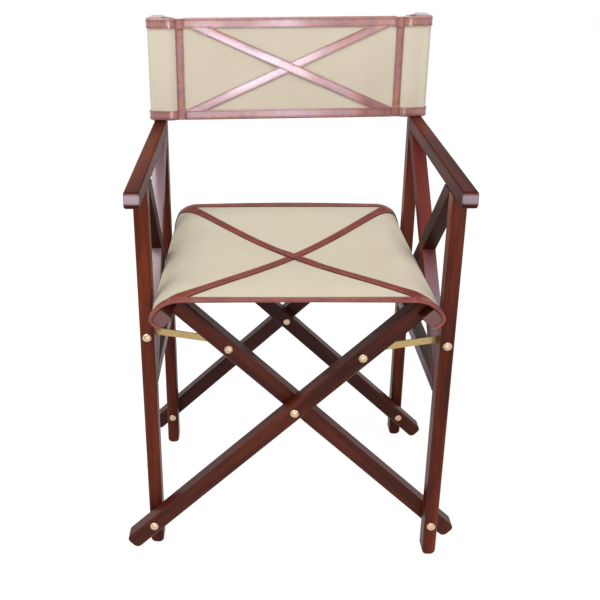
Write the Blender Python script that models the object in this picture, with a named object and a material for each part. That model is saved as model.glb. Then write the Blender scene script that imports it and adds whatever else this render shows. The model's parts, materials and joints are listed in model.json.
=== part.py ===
"""Folding director's chair: two wooden side frames, crossed bars, canvas seat and back.

Metres, +Z up, the chair faces -Y and stands on z = 0.
"""
import math

import bmesh
import bpy
from mathutils import Vector

# Driving dimensions: side frames
POST_HEIGHT = 0.900
LEG_SPACING = 0.486
LEG_WIDTH = 0.023
LEG_DEPTH = 0.028
LEG_FOOT_ROUND = 0.009
POST_TOP_ROUND = 0.003
FRAME_DEPTH = 0.406
EDGE_EASE = 0.0020

# Driving dimensions: arms, side braces and stretchers
ARM_UNDERSIDE = 0.6665
ARM_SLOPE = 2.7
ARM_THICKNESS = 0.026
ARM_OVERHANG = 0.057
ARM_NOSE_ROUND = 0.008
BRACE_WIDTH = 0.025
BRACE_FOOT_HEIGHT = 0.338
BRACE_HEAD_INSET = 0.014
STRETCHER_UNDERSIDE = 0.315
STRETCHER_HEIGHT = 0.026

# Driving dimensions: crossed bars, seat rails and brass stays
PIVOT_HEIGHT = 0.0615
CROSS_HEIGHT = 0.291
BAR_WIDTH = 0.028
BAR_TAIL = 0.0573
BAR_TIP_ROUND = 0.009
RAIL_SIZE = 0.026
RAIL_ROUND = 0.009
RAIL_EDGE = 0.003
RAIL_LEG_GAP = 0.0022
RAIL_OVERHANG = 0.022
TONGUE_SETBACK = 0.001
STAY_PIN_REACH = 0.150
STAY_RISE = 0.0215
STAY_WIDTH = 0.012

# Driving dimensions: brass fastenings
WASHER_THICKNESS = 0.0024
WASHER_RADIUS = 0.0085
SHANK_RADIUS = 0.0030
DOME_RADIUS = 0.0078
DOME_RISE = 0.0045
INNER_HEAD_RADIUS = 0.0070
INNER_HEAD_RISE = 0.0026
PEEN_RADIUS = 0.0045
PEEN_RISE = 0.0016

# Driving dimensions: canvas and leather
CANVAS = 0.0018
LEATHER = 0.0014
PANEL_LAP = 0.008
SEAT_ROLL = 0.050
SEAT_SAG = 0.013
SEAT_FRONT_LIFT = 0.001
SEAT_REAR_LIFT = 0.013
SEAT_BINDING = 0.012
SEAT_STRAP = 0.018
STRAP_RAMP = 0.008
STRAP_MARGIN = 0.002
TURNOVER_TUCK = 40.0
BACK_TOP_DROP = 0.006
BACK_ARM_GAP = 0.0032
BACK_BINDING = 0.0155
BACK_STRAP = 0.017
BACK_STRAP_TOP_INSET = 0.012
SEAM_STRAP = 0.0145
SLEEVE_INSET = 0.048
SLEEVE_SLACK = 0.0045
SLEEVE_CORNER = 0.007

# Clearances between neighbouring pieces
FIT = 0.0003
RUNNING_FIT = 0.0003
CLOTH_FIT = 0.0007

# Facet counts of round shapes
ROUND_STEPS = 5
SHANK_SIDES = 16
DOME_RINGS = 3
CLOTH_STEPS = 20
ROLL_STEPS = 12
SHARP_ANGLE = 35.0

# Sizes worked out from the driving dimensions
HALF_SPACING = LEG_SPACING / 2
HALF_LEG = LEG_WIDTH / 2
PLANE_PITCH = LEG_DEPTH + WASHER_THICKNESS + 2 * FIT
ARM_TO_SEAT = ARM_OVERHANG - RAIL_OVERHANG - CLOTH_FIT - LEATHER
FRAME_MIDDLE = ARM_TO_SEAT / 2
FRONT_OUTER = FRAME_MIDDLE - FRAME_DEPTH / 2
FRONT_INNER = FRONT_OUTER + PLANE_PITCH
REAR_OUTER = FRAME_MIDDLE + FRAME_DEPTH / 2 - LEG_DEPTH
REAR_INNER = REAR_OUTER - PLANE_PITCH
BAR_HALF = BAR_WIDTH / 2
LOWER_REACH = math.hypot(HALF_SPACING, CROSS_HEIGHT - PIVOT_HEIGHT)
OPEN_ANGLE = math.atan2(HALF_SPACING, CROSS_HEIGHT - PIVOT_HEIGHT)
RAIL_HALF = RAIL_SIZE / 2
RAIL_CORNER = RAIL_HALF - RAIL_ROUND
RAIL_WRAP = RAIL_ROUND + FIT + CANVAS
RAIL_ROOM = HALF_SPACING - HALF_LEG - RAIL_LEG_GAP - RAIL_WRAP
RAIL_SIDEWAYS = (RAIL_HALF + RAIL_CORNER) * math.cos(OPEN_ANGLE)
RAIL_REACH = (RAIL_ROOM - RAIL_SIDEWAYS) / math.sin(OPEN_ANGLE) - RAIL_CORNER
TONGUE_END = RAIL_REACH + RAIL_HALF - TONGUE_SETBACK
TONGUE_ROUND = (BAR_HALF - FIT) / 2
TONGUE_CENTRE = (TONGUE_END - TONGUE_ROUND, TONGUE_ROUND - BAR_HALF)
STAY_PIN_HEIGHT = CROSS_HEIGHT + STAY_PIN_REACH * math.cos(OPEN_ANGLE) + STAY_RISE
RAIL_HALF_LENGTH = FRAME_DEPTH / 2 + RAIL_OVERHANG
RAIL_FRONT = FRAME_MIDDLE - RAIL_HALF_LENGTH
RAIL_REAR = FRAME_MIDDLE + RAIL_HALF_LENGTH
ARM_TOP = ARM_UNDERSIDE + ARM_THICKNESS
ARM_RISE = math.tan(math.radians(ARM_SLOPE))
STRETCHER_TOP = STRETCHER_UNDERSIDE + STRETCHER_HEIGHT
BACK_TOP = POST_HEIGHT - BACK_TOP_DROP
BACK_BOTTOM = ARM_TOP + ARM_RISE * (REAR_OUTER - FRONT_OUTER) + BACK_ARM_GAP
STAY_THICKNESS = WASHER_THICKNESS

# Finishes: colour, roughness and metallic value
WOOD = ((0.135, 0.032, 0.016), 0.32, 0.0)
BRASS = ((0.72, 0.46, 0.20), 0.28, 1.0)
STAY_BRASS = ((0.56, 0.38, 0.10), 0.36, 1.0)
CLOTH = ((0.66, 0.60, 0.47), 0.90, 0.0)
HIDE = ((0.23, 0.052, 0.042), 0.42, 0.0)

for old in list(bpy.data.objects):
    bpy.data.objects.remove(old, do_unlink=True)


def add_empty(name, place):
    """A frame that carries the pieces of one moving group, on that group's own axis."""
    empty = bpy.data.objects.new(name, None)
    empty.location = place
    bpy.context.scene.collection.objects.link(empty)
    return empty


def add_piece(name, bm, finish, carrier):
    """Turn a mesh drawn in world coordinates into a named piece carried by an empty."""
    bmesh.ops.recalc_face_normals(bm, faces=bm.faces)
    mesh = bpy.data.meshes.new(name)
    bmesh.ops.translate(bm, verts=bm.verts, vec=-carrier.location)
    bm.to_mesh(mesh)
    bm.free()
    mesh.shade_smooth()
    mesh.set_sharp_from_angle(angle=math.radians(SHARP_ANGLE))
    piece = bpy.data.objects.new(name, mesh)
    piece.parent = carrier
    colour, roughness, metallic = finish
    material = bpy.data.materials.new(name)
    material.use_nodes = True
    shader = material.node_tree.nodes["Principled BSDF"]
    shader.inputs["Base Color"].default_value = (*colour, 1.0)
    shader.inputs["Roughness"].default_value = roughness
    shader.inputs["Metallic"].default_value = metallic
    mesh.materials.append(material)
    bpy.context.scene.collection.objects.link(piece)
    return piece


def add_helper(name, bm, carrier):
    """A cutting or joining shape that is not a piece itself."""
    helper = add_piece(name, bm, WOOD, carrier)
    helper.hide_render = True
    helper.display_type = "WIRE"
    return helper


def combine(piece, helper, operation):
    """Cut a helper out of a piece, or join it on."""
    modifier = piece.modifiers.new(operation.title(), "BOOLEAN")
    modifier.operation = operation
    modifier.object = helper
    modifier.solver = "EXACT"


def arc(centre, radius, start, end, steps=ROUND_STEPS):
    """Points of an arc, angles in degrees, both ends included."""
    points = []
    for i in range(steps + 1):
        angle = math.radians(start + (end - start) * i / steps)
        points.append((centre[0] + radius * math.cos(angle), centre[1] + radius * math.sin(angle)))
    return points


def prism(outline, axis, low, high, ease=0.0):
    """A closed solid with a flat outline, drawn out along X or Y, its rims eased."""
    bm = bmesh.new()
    near = []
    for u, v in outline:
        place = (low, u, v) if axis == "X" else (u, low, v)
        near.append(bm.verts.new(place))
    face = bm.faces.new(near)
    step = (high - low, 0, 0) if axis == "X" else (0, high - low, 0)
    drawn = bmesh.ops.extrude_face_region(bm, geom=[face], use_keep_orig=True)
    moved = [item for item in drawn["geom"] if isinstance(item, bmesh.types.BMVert)]
    caps = [face] + [item for item in drawn["geom"] if isinstance(item, bmesh.types.BMFace)]
    bmesh.ops.translate(bm, verts=moved, vec=step)
    bmesh.ops.recalc_face_normals(bm, faces=bm.faces)
    if ease > 0.0:
        rims = [edge for cap in caps for edge in cap.edges]
        bmesh.ops.bevel(bm, geom=rims, offset=ease, segments=1, affect="EDGES", profile=0.5)
    return bm


def turned(profile, place, closed=False):
    """A solid turned about an axis along Y: radius and distance pairs, pole to pole or a closed ring."""
    bm = bmesh.new()
    rings = []
    for radius, distance in profile:
        if radius == 0.0:
            rings.append([bm.verts.new((place[0], place[1] + distance, place[2]))])
            continue
        ring = []
        for i in range(SHANK_SIDES):
            angle = 2 * math.pi * i / SHANK_SIDES
            x = place[0] + radius * math.cos(angle)
            z = place[2] + radius * math.sin(angle)
            ring.append(bm.verts.new((x, place[1] + distance, z)))
        rings.append(ring)
    following = rings[1:] + rings[:1] if closed else rings[1:]
    for first, second in zip(rings, following):
        for i in range(SHANK_SIDES):
            corners = [first[i % len(first)], first[(i + 1) % len(first)]]
            corners += [second[(i + 1) % len(second)], second[i % len(second)]]
            unique = list(dict.fromkeys(corners))
            bm.faces.new(unique)
    return bm


def dome(radius, rise, seat, outward):
    """Profile of a domed head from its pole to its rim; outward is -1 or 1 along Y."""
    points = []
    for i in range(DOME_RINGS + 1):
        angle = math.pi / 2 * i / DOME_RINGS
        points.append((radius * math.sin(angle), seat + outward * rise * math.cos(angle)))
    points[0] = (0.0, points[0][1])
    return points


def along_bar(distance, offset, side):
    """World x and z of a point measured along a bar from the crossing; side is +1 for right."""
    x = distance * math.sin(OPEN_ANGLE) + offset * math.cos(OPEN_ANGLE)
    z = CROSS_HEIGHT + distance * math.cos(OPEN_ANGLE) - offset * math.sin(OPEN_ANGLE)
    return side * x, z


left_frame = add_empty("left_frame_carrier", Vector((0, 0, 0)))
outer_cross = add_empty("outer_cross_carrier", Vector((-HALF_SPACING, 0, PIVOT_HEIGHT)))
inner_cross = add_empty("inner_cross_carrier", Vector((0, 0, CROSS_HEIGHT)))
right_frame = add_empty("right_frame_carrier", Vector((HALF_SPACING, 0, PIVOT_HEIGHT)))
seat_cloth = add_empty("seat_carrier", Vector((0, 0, CROSS_HEIGHT)))
back_cloth = add_empty("back_carrier", Vector((0, 0, BACK_BOTTOM)))
FRAMES = {-1: left_frame, 1: right_frame}
CROSSES = {-1: inner_cross, 1: outer_cross}
SIDE_NAMES = {-1: "left", 1: "right"}
END_NAMES = {-1: "front", 1: "rear"}


def bore(name, x, z, radius):
    """A long cutter along Y for every hole on one axis."""
    reach = FRAME_DEPTH
    profile = [(0.0, -reach), (radius, -reach), (radius, reach), (0.0, reach)]
    return add_helper(name, turned(profile, (x, 0, z)), left_frame)


# Bores shared by the pieces on each pivot axis
BORE_RADIUS = SHANK_RADIUS + RUNNING_FIT
cross_bore = bore("cross_bore", 0, CROSS_HEIGHT, BORE_RADIUS)
foot_bores = {}
stay_leg_bores = {}
stay_bar_bores = {}
for side in (-1, 1):
    name = SIDE_NAMES[side]
    foot_bores[side] = bore(f"{name}_foot_bore", side * HALF_SPACING, PIVOT_HEIGHT, BORE_RADIUS)
    stay_leg_bores[side] = bore(f"{name}_stay_leg_bore", side * HALF_SPACING, STAY_PIN_HEIGHT, BORE_RADIUS)
    pin_x, pin_z = along_bar(STAY_PIN_REACH, 0, side)
    stay_bar_bores[side] = bore(f"{name}_stay_bar_bore", pin_x, pin_z, BORE_RADIUS)


def leg_plane(side, end):
    """Front face of a leg, and of the crossed bar that carries the seat rail on the same side.

    The right frame is the wide one, and the left frame stands inside it.
    """
    if side > 0:
        return FRONT_OUTER if end < 0 else REAR_OUTER
    return FRONT_INNER if end < 0 else REAR_INNER


def foot_outline(x):
    """Rounded foot of a leg seen from the front."""
    radius = LEG_FOOT_ROUND
    inset = HALF_LEG - radius
    return arc((x - inset, radius), radius, 180, 270) + arc((x + inset, radius), radius, 270, 360)


def post_top(x):
    """Rounded top of a rear post."""
    radius = POST_TOP_ROUND
    inset = HALF_LEG - radius
    crown = POST_HEIGHT - radius
    return arc((x + inset, crown), radius, 0, 90) + arc((x - inset, crown), radius, 90, 180)


def leg_top(x):
    """Square top of a front leg, under the arm."""
    top = ARM_UNDERSIDE - FIT
    return [(x + HALF_LEG, top), (x - HALF_LEG, top)]


def sloped(y, z):
    """A point of a side frame moved up with the slope of the arm, which starts at the front legs."""
    return y, z + ARM_RISE * (y - FRONT_OUTER)


def slope_top(solid):
    """Cut the top of a front leg to the slope of the arm."""
    for vertex in solid.verts:
        if vertex.co.z > ARM_UNDERSIDE / 2:
            vertex.co.y, vertex.co.z = sloped(vertex.co.y, vertex.co.z)


# Front legs and rear posts: the post carries on upwards to hold the back
for side in (-1, 1):
    for end in (-1, 1):
        front = leg_plane(side, end)
        label = "front_leg" if end < 0 else "rear_post"
        x = side * HALF_SPACING
        outline = foot_outline(x) + (leg_top(x) if end < 0 else post_top(x))
        solid = prism(outline, "Y", front, front + LEG_DEPTH, EDGE_EASE)
        if end < 0:
            slope_top(solid)
        leg = add_piece(f"{SIDE_NAMES[side]}_{label}", solid, WOOD, FRAMES[side])
        combine(leg, foot_bores[side], "DIFFERENCE")
        combine(leg, stay_leg_bores[side], "DIFFERENCE")


def clip(outline, index, limit, keep_above):
    """Keep the part of a flat outline on one side of a straight line."""
    kept = []
    for start, finish in zip(outline, outline[1:] + outline[:1]):
        inside = (start[index] - limit) * (1 if keep_above else -1) >= 0
        leaves = (finish[index] - limit) * (1 if keep_above else -1) >= 0
        if inside:
            kept.append(start)
        if inside != leaves:
            share = (limit - start[index]) / (finish[index] - start[index])
            kept.append(tuple(s + share * (f - s) for s, f in zip(start, finish)))
    return kept


def strip(start, finish, width, extra):
    """A straight strip about a centre line, lengthened past both ends."""
    run = Vector(finish) - Vector(start)
    run.normalize()
    across = Vector((-run.y, run.x)) * (width / 2)
    first = Vector(start) - run * extra
    last = Vector(finish) + run * extra
    corners = [first - across, last - across, last + across, first + across]
    return [(c.x, c.y) for c in corners]


# Arms lie on the front legs and butt against the rear posts; a level stretcher joins leg and post
# lower down, and crossed braces stiffen each side between the two
for side in (-1, 1):
    name = SIDE_NAMES[side]
    inner_x = side * HALF_SPACING - HALF_LEG
    outer_x = side * HALF_SPACING + HALF_LEG
    nose = FRONT_OUTER - ARM_OVERHANG
    rear = leg_plane(side, 1) - FIT
    outline = arc((nose + ARM_NOSE_ROUND, ARM_UNDERSIDE + ARM_NOSE_ROUND), ARM_NOSE_ROUND, 270, 180)
    outline += arc((nose + ARM_NOSE_ROUND, ARM_TOP - ARM_NOSE_ROUND), ARM_NOSE_ROUND, 180, 90)
    outline += [(rear, ARM_TOP), (rear, ARM_UNDERSIDE)]
    outline = [sloped(y, z) for y, z in outline]
    add_piece(f"{name}_arm", prism(outline, "X", inner_x, outer_x, EDGE_EASE), WOOD, FRAMES[side])

    low_y = leg_plane(side, -1) + LEG_DEPTH + FIT
    high_y = leg_plane(side, 1) - FIT
    outline = [(low_y, STRETCHER_UNDERSIDE), (high_y, STRETCHER_UNDERSIDE)]
    outline += [(high_y, STRETCHER_TOP), (low_y, STRETCHER_TOP)]
    add_piece(f"{name}_side_stretcher", prism(outline, "X", inner_x, outer_x, EDGE_EASE), WOOD, FRAMES[side])

    top_z = ARM_UNDERSIDE - FIT
    runs = {
        "falling": (sloped(high_y - BRACE_HEAD_INSET, top_z), (low_y, BRACE_FOOT_HEIGHT)),
        "rising": (sloped(low_y + BRACE_HEAD_INSET, top_z), (high_y, BRACE_FOOT_HEIGHT)),
    }
    middle_x = side * HALF_SPACING
    laps = {"falling": (middle_x - FIT / 2, outer_x + FIT), "rising": (inner_x - FIT, middle_x + FIT / 2)}
    boards = {}
    for key, (head, foot) in runs.items():
        outline = strip(head, foot, BRACE_WIDTH, BRACE_WIDTH)
        outline = clip(outline, 0, low_y, True)
        outline = clip(outline, 0, high_y, False)
        outline = clip(outline, 1, STRETCHER_TOP + FIT, True)
        level = [(y, z - sloped(y, 0.0)[1]) for y, z in outline]
        outline = [sloped(y, z) for y, z in clip(level, 1, top_z, False)]
        solid = prism(outline, "X", inner_x, outer_x)
        boards[key] = add_piece(f"{name}_brace_{key}", solid, WOOD, FRAMES[side])
    for key, other in (("falling", "rising"), ("rising", "falling")):
        lap = strip(*runs[other], BRACE_WIDTH + 2 * FIT, BRACE_WIDTH)
        cutter = add_helper(f"{name}_lap_{key}", prism(lap, "X", *laps[key]), FRAMES[side])
        combine(boards[key], cutter, "DIFFERENCE")


def bar_outline(side):
    """Crossed bar seen from the front: rounded tip, and a tongue over the seat rail."""
    tail = LOWER_REACH + BAR_TAIL
    tip = BAR_TIP_ROUND
    half = BAR_HALF
    local = arc((-tail + tip, half - tip), tip, 90, 180)
    local += arc((-tail + tip, -half + tip), tip, 180, 270)
    local += arc(TONGUE_CENTRE, TONGUE_ROUND, -90, 90)
    notch = RAIL_REACH - RAIL_HALF - FIT
    local += [(notch, -FIT), (notch, half)]
    return [along_bar(distance, offset, side) for distance, offset in local]


# Crossed bars: the outer pair carries the right rail, the inner pair carries the left rail
for side in (-1, 1):
    pair = "outer" if side > 0 else "inner"
    for end in (-1, 1):
        front = leg_plane(side, end)
        solid = prism(bar_outline(side), "Y", front, front + LEG_DEPTH, EDGE_EASE)
        bar = add_piece(f"{END_NAMES[end]}_{pair}_bar", solid, WOOD, CROSSES[side])
        combine(bar, cross_bore, "DIFFERENCE")
        combine(bar, foot_bores[-side], "DIFFERENCE")
        combine(bar, stay_bar_bores[side], "DIFFERENCE")

    near, far = RAIL_REACH - RAIL_HALF, RAIL_REACH + RAIL_HALF
    lower = RAIL_SIZE - RAIL_ROUND
    local = arc((far - RAIL_ROUND, lower), RAIL_ROUND, 0, 90)
    local += arc((near + RAIL_ROUND, lower), RAIL_ROUND, 90, 180)
    local += arc((near + RAIL_EDGE, RAIL_EDGE), RAIL_EDGE, 180, 270)
    local += arc((far - RAIL_EDGE, RAIL_EDGE), RAIL_EDGE, 270, 360)
    outline = [along_bar(distance, offset, side) for distance, offset in local]
    solid = prism(outline, "Y", RAIL_FRONT, RAIL_REAR, EDGE_EASE)
    add_piece(f"{SIDE_NAMES[side]}_seat_rail", solid, WOOD, CROSSES[side])


# Bolts with a domed outer head and a low inner head. A collar on the bolt keeps the bars apart at
# the crossings, and a loose washer does so at the feet
DEPTHS = {-1: (FRONT_OUTER, FRONT_INNER + LEG_DEPTH), 1: (REAR_OUTER + LEG_DEPTH, REAR_INNER)}


def bolt(name, x, z, end, carrier, collar=()):
    """A brass bolt through both layers of wood at the front or the rear."""
    outside, inside = DEPTHS[end]
    profile = dome(DOME_RADIUS, DOME_RISE, outside + end * FIT, end)
    profile.append((SHANK_RADIUS, outside + end * FIT))
    profile += collar
    profile.append((SHANK_RADIUS, inside - end * FIT))
    profile += reversed(dome(INNER_HEAD_RADIUS, INNER_HEAD_RISE, inside - end * FIT, -end))
    add_piece(name, turned(profile, (x, 0, z)), BRASS, carrier)


def washer(name, x, z, end, carrier):
    """A flat brass washer that keeps the two layers apart."""
    start = FRONT_OUTER + LEG_DEPTH + FIT if end < 0 else REAR_INNER + LEG_DEPTH + FIT
    inner = SHANK_RADIUS + RUNNING_FIT
    ring = [(inner, start), (WASHER_RADIUS, start), (WASHER_RADIUS, start + WASHER_THICKNESS)]
    ring.append((inner, start + WASHER_THICKNESS))
    add_piece(name, turned(ring, (x, 0, z), closed=True), BRASS, carrier)


for end in (-1, 1):
    near = FRONT_OUTER + LEG_DEPTH + FIT if end < 0 else REAR_OUTER - FIT
    far = near - end * WASHER_THICKNESS
    collar = [(SHANK_RADIUS, near), (WASHER_RADIUS, near), (WASHER_RADIUS, far), (SHANK_RADIUS, far)]
    bolt(f"{END_NAMES[end]}_cross_bolt", 0, CROSS_HEIGHT, end, outer_cross, collar)
    for side in (-1, 1):
        label = f"{SIDE_NAMES[side]}_{END_NAMES[end]}"
        bolt(f"{label}_foot_bolt", side * HALF_SPACING, PIVOT_HEIGHT, end, FRAMES[side])
        washer(f"{label}_foot_washer", side * HALF_SPACING, PIVOT_HEIGHT, end, FRAMES[side])


# Brass stays between a leg and the bar that carries the rail on the same side
for side in (-1, 1):
    leg_pin = (side * HALF_SPACING, STAY_PIN_HEIGHT)
    bar_pin = along_bar(STAY_PIN_REACH, 0, side)
    slope = math.degrees(math.atan2(bar_pin[1] - leg_pin[1], bar_pin[0] - leg_pin[0]))
    radius = STAY_WIDTH / 2
    outline = arc(bar_pin, radius, slope - 90, slope + 90)
    outline += arc(leg_pin, radius, slope + 90, slope + 270)
    for end in (-1, 1):
        label = f"{SIDE_NAMES[side]}_{END_NAMES[end]}"
        plane = leg_plane(side, end)
        wood_out = plane if end < 0 else plane + LEG_DEPTH
        wood_in = plane + LEG_DEPTH if end < 0 else plane
        near = wood_in - end * FIT
        far = near - end * STAY_THICKNESS
        carrier = add_empty(f"{label}_stay_carrier", Vector((leg_pin[0], 0, leg_pin[1])))
        solid = prism(outline, "Y", min(near, far), max(near, far))
        stay = add_piece(f"{label}_stay", solid, STAY_BRASS, carrier)
        combine(stay, stay_leg_bores[side], "DIFFERENCE")
        peen = dome(PEEN_RADIUS, PEEN_RISE, far, -end)
        peen += [(PEEN_RADIUS, (near + far) / 2), (0.0, (near + far) / 2)]
        solid = turned(peen, (bar_pin[0], 0, bar_pin[1]))
        combine(stay, add_helper(f"{label}_stay_peen", solid, carrier), "UNION")

        profile = dome(DOME_RADIUS, DOME_RISE, wood_out + end * FIT, end)
        profile += [(SHANK_RADIUS, wood_out + end * FIT), (SHANK_RADIUS, far - end * FIT)]
        profile += reversed(dome(PEEN_RADIUS, PEEN_RISE, far - end * FIT, -end))
        add_piece(f"{label}_leg_rivet", turned(profile, (leg_pin[0], 0, leg_pin[1])), BRASS, FRAMES[side])
        profile = dome(DOME_RADIUS, DOME_RISE, wood_out + end * FIT, end)
        profile += [(SHANK_RADIUS, wood_out + end * FIT), (SHANK_RADIUS, wood_in), (0.0, wood_in)]
        add_piece(f"{label}_bar_rivet", turned(profile, (bar_pin[0], 0, bar_pin[1])), BRASS, CROSSES[side])


def resting_circle(first, first_radius, second, second_radius, radius):
    """Centre, below both, of a large circle that lies on the outside of two smaller ones."""
    first_reach = radius - first_radius
    second_reach = radius - second_radius
    gap = Vector(second) - Vector(first)
    along = (first_reach ** 2 - second_reach ** 2 + gap.length_squared) / (2 * gap.length)
    sideways = math.sqrt(first_reach ** 2 - along ** 2)
    run = gap.normalized()
    return Vector(first) + run * along + Vector((-run.y, run.x)) * sideways


# Seat: one canvas that rolls over the bar tongues and the rails and sinks between them
TONGUE_NOSE = along_bar(*TONGUE_CENTRE, 1)
RAIL_OUTER = along_bar(RAIL_REACH + RAIL_CORNER, RAIL_HALF + RAIL_CORNER, 1)
RAIL_LOWER = along_bar(RAIL_REACH - RAIL_CORNER, RAIL_HALF + RAIL_CORNER, 1)
ROLL_CENTRE = resting_circle(RAIL_OUTER, RAIL_ROUND + FIT, TONGUE_NOSE, TONGUE_ROUND + FIT, SEAT_ROLL)
SEAT_TOP = ROLL_CENTRE.y + SEAT_ROLL + CANVAS
SEAT_PANEL_HALF = ROLL_CENTRE.x + PANEL_LAP


def rear_lift(y):
    """How far the canvas stands up towards its rear edge, y counted from the seat's middle."""
    return SEAT_REAR_LIFT * max(0.0, y / RAIL_HALF_LENGTH) ** 3


def roll_drop(x):
    """How far the canvas has turned down where it runs onto the roll at either side."""
    past = max(0.0, abs(x) - ROLL_CENTRE.x)
    radius = SEAT_ROLL + CANVAS
    return radius - math.sqrt(radius ** 2 - past ** 2)


def on_seat(x, y, height):
    """A point above the seat canvas, y counted from the seat's middle.

    The middle sinks, the front edge stays nearly straight, and the rear edge stands up.
    """
    across = 1 - (x / SEAT_PANEL_HALF) ** 2
    depth = y / RAIL_HALF_LENGTH
    sag = SEAT_SAG * (1 - depth ** 2)
    arch = SEAT_FRONT_LIFT * max(0.0, -depth) ** 3
    z = SEAT_TOP - roll_drop(x) + across * (arch - sag) + rear_lift(y)
    return x, FRAME_MIDDLE + y, z + height


def swept(section, stations):
    """A closed strip: the same flat section, in order, set at each station by a placing rule."""
    bm = bmesh.new()
    rings = []
    for place in stations:
        rings.append([bm.verts.new(place(u, v)) for u, v in section])
    count = len(section)
    for first, second in zip(rings, rings[1:]):
        for i in range(count):
            j = (i + 1) % count
            bm.faces.new((first[i], first[j], second[j], second[i]))
    bm.faces.new(rings[0])
    bm.faces.new(list(reversed(rings[-1])))
    return bm


def seat_stations():
    """Stations across the seat; a section there is drawn in depth and in height above the canvas."""
    stations = []
    for i in range(CLOTH_STEPS + 1):
        x = SEAT_PANEL_HALF * (2 * i / CLOTH_STEPS - 1)
        stations.append(lambda u, v, x=x: on_seat(x, u, v))
    return stations


def edge_binding(edge, inward, width):
    """Section of a leather binding folded over a canvas edge: height, then depth across it."""
    reach = edge + inward * width
    wrap = edge - inward * (CLOTH_FIT + LEATHER)
    lining = edge - inward * CLOTH_FIT
    above = CLOTH_FIT + LEATHER
    below = -CANVAS - CLOTH_FIT - LEATHER
    section = [(reach, above), (wrap, above), (wrap, below), (reach, below)]
    section += [(reach, -CANVAS - CLOTH_FIT), (lining, -CANVAS - CLOTH_FIT)]
    section += [(lining, CLOTH_FIT), (reach, CLOTH_FIT)]
    return section


depths = [RAIL_HALF_LENGTH * (2 * i / CLOTH_STEPS - 1) for i in range(CLOTH_STEPS + 1)]
section = [(y, 0) for y in depths] + [(y, -CANVAS) for y in reversed(depths)]
add_piece("seat_canvas", swept(section, seat_stations()), CLOTH, seat_cloth)
for end in (-1, 1):
    section = edge_binding(end * RAIL_HALF_LENGTH, -end, SEAT_BINDING)
    add_piece(f"seat_{END_NAMES[end]}_binding", swept(section, seat_stations()), HIDE, seat_cloth)


def crossing_strap(run, start, finish, half_across, lift, place):
    """A flat leather strap from corner to corner, its ends cut along the edges that it meets.

    run is half the distance between those edges, start and finish are the strap's sideways places
    at its two ends, and lift raises it where it passes over the other strap.
    """
    lean = (finish - start) / (2 * run)
    middle = (finish + start) / 2
    crossing = -middle / lean
    meet = half_across / abs(lean) + STRAP_MARGIN
    foot = crossing - meet - STRAP_RAMP
    head = crossing + meet + STRAP_RAMP
    lower = [(-run + (foot + run) * i / CLOTH_STEPS, 0.0) for i in range(CLOTH_STEPS + 1)]
    over = [(crossing + mark, lift) for mark in (-meet, -meet / 2, 0.0, meet / 2, meet)]
    upper = [(head + (run - head) * i / CLOTH_STEPS, 0.0) for i in range(CLOTH_STEPS + 1)]
    stations = []
    for along, rise in lower + over + upper:
        centre = middle + lean * along
        stations.append(lambda u, v, along=along, c=centre, rise=rise: place(c + u, along, v + rise))
    top = CLOTH_FIT + LEATHER
    section = [(-half_across, CLOTH_FIT), (half_across, CLOTH_FIT), (half_across, top), (-half_across, top)]
    return swept(section, stations)


def slant_width(width, sideways, run):
    """Half of a slanting strap's width, measured along the edges that cut it off."""
    return width / 2 * math.hypot(1, sideways / run)


STRAP_LIFT = LEATHER + CLOTH_FIT
seat_run = RAIL_HALF_LENGTH - SEAT_BINDING - FIT
seat_across = slant_width(SEAT_STRAP, SEAT_PANEL_HALF, seat_run)
corner = SEAT_PANEL_HALF - seat_across
for label, side, lift in (("under", 1, 0.0), ("over", -1, STRAP_LIFT)):
    solid = crossing_strap(seat_run, -side * corner, side * corner, seat_across, lift, on_seat)
    add_piece(f"seat_strap_{label}", solid, HIDE, seat_cloth)


def chain_outline(circles, thickness, start):
    """Cloth turned round a row of circles, clockwise, from a start angle on the first.

    circles hold a centre, a radius and a step count; the cloth keeps to the outside of them all.
    """
    turns = []
    for (first, r_first, _), (second, r_second, _) in zip(circles, circles[1:]):
        gap = Vector(second) - Vector(first)
        heading = math.atan2(gap.y, gap.x)
        share = min(1.0, (r_first - r_second) / gap.length)
        turns.append(math.degrees(heading + math.acos(share)))
    starts = [start] + turns
    ends = turns + [turns[-1] - TURNOVER_TUCK]
    inside, outside = [], []
    for (centre, radius, steps), begin, end in zip(circles, starts, ends):
        inside += arc(centre, radius, begin, end, steps)
        outside += arc(centre, radius + thickness, begin, end, steps)
    return outside + list(reversed(inside))


def turned_over(x, y, z):
    """A point of a turned-over edge: above the rail it stands up towards the rear with the seat."""
    share = (z - RAIL_OUTER[1]) / (TONGUE_NOSE[1] - RAIL_OUTER[1])
    return x, FRAME_MIDDLE + y, z + rear_lift(y) * min(1.0, max(0.0, share))


rail_turns = [(RAIL_OUTER, RAIL_ROUND + FIT, ROUND_STEPS), (RAIL_LOWER, RAIL_ROUND + FIT, ROUND_STEPS)]
rounds = [(ROLL_CENTRE, SEAT_ROLL, ROLL_STEPS)] + rail_turns
depths = [-RAIL_HALF_LENGTH] + [RAIL_HALF_LENGTH * i / ROLL_STEPS for i in range(ROLL_STEPS + 1)]
stations = [lambda u, v, y=y: turned_over(u, y, v) for y in depths]
roll_start = math.degrees(math.acos((PANEL_LAP + FIT) / SEAT_ROLL))
for side in (-1, 1):
    outline = [(side * x, z) for x, z in chain_outline(rounds, CANVAS, roll_start)]
    add_piece(f"seat_{SIDE_NAMES[side]}_turnover", swept(outline, stations), CLOTH, CROSSES[side])


# Back: one canvas with a sleeve round each rear post, bound in leather
SLEEVE_EDGE = HALF_SPACING - SLEEVE_INSET
PANEL_EDGE = SLEEVE_EDGE - FIT
BACK_FRONT = {}
for side in (-1, 1):
    post_front = leg_plane(side, 1)
    BACK_FRONT[side] = post_front - FIT - CANVAS


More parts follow.
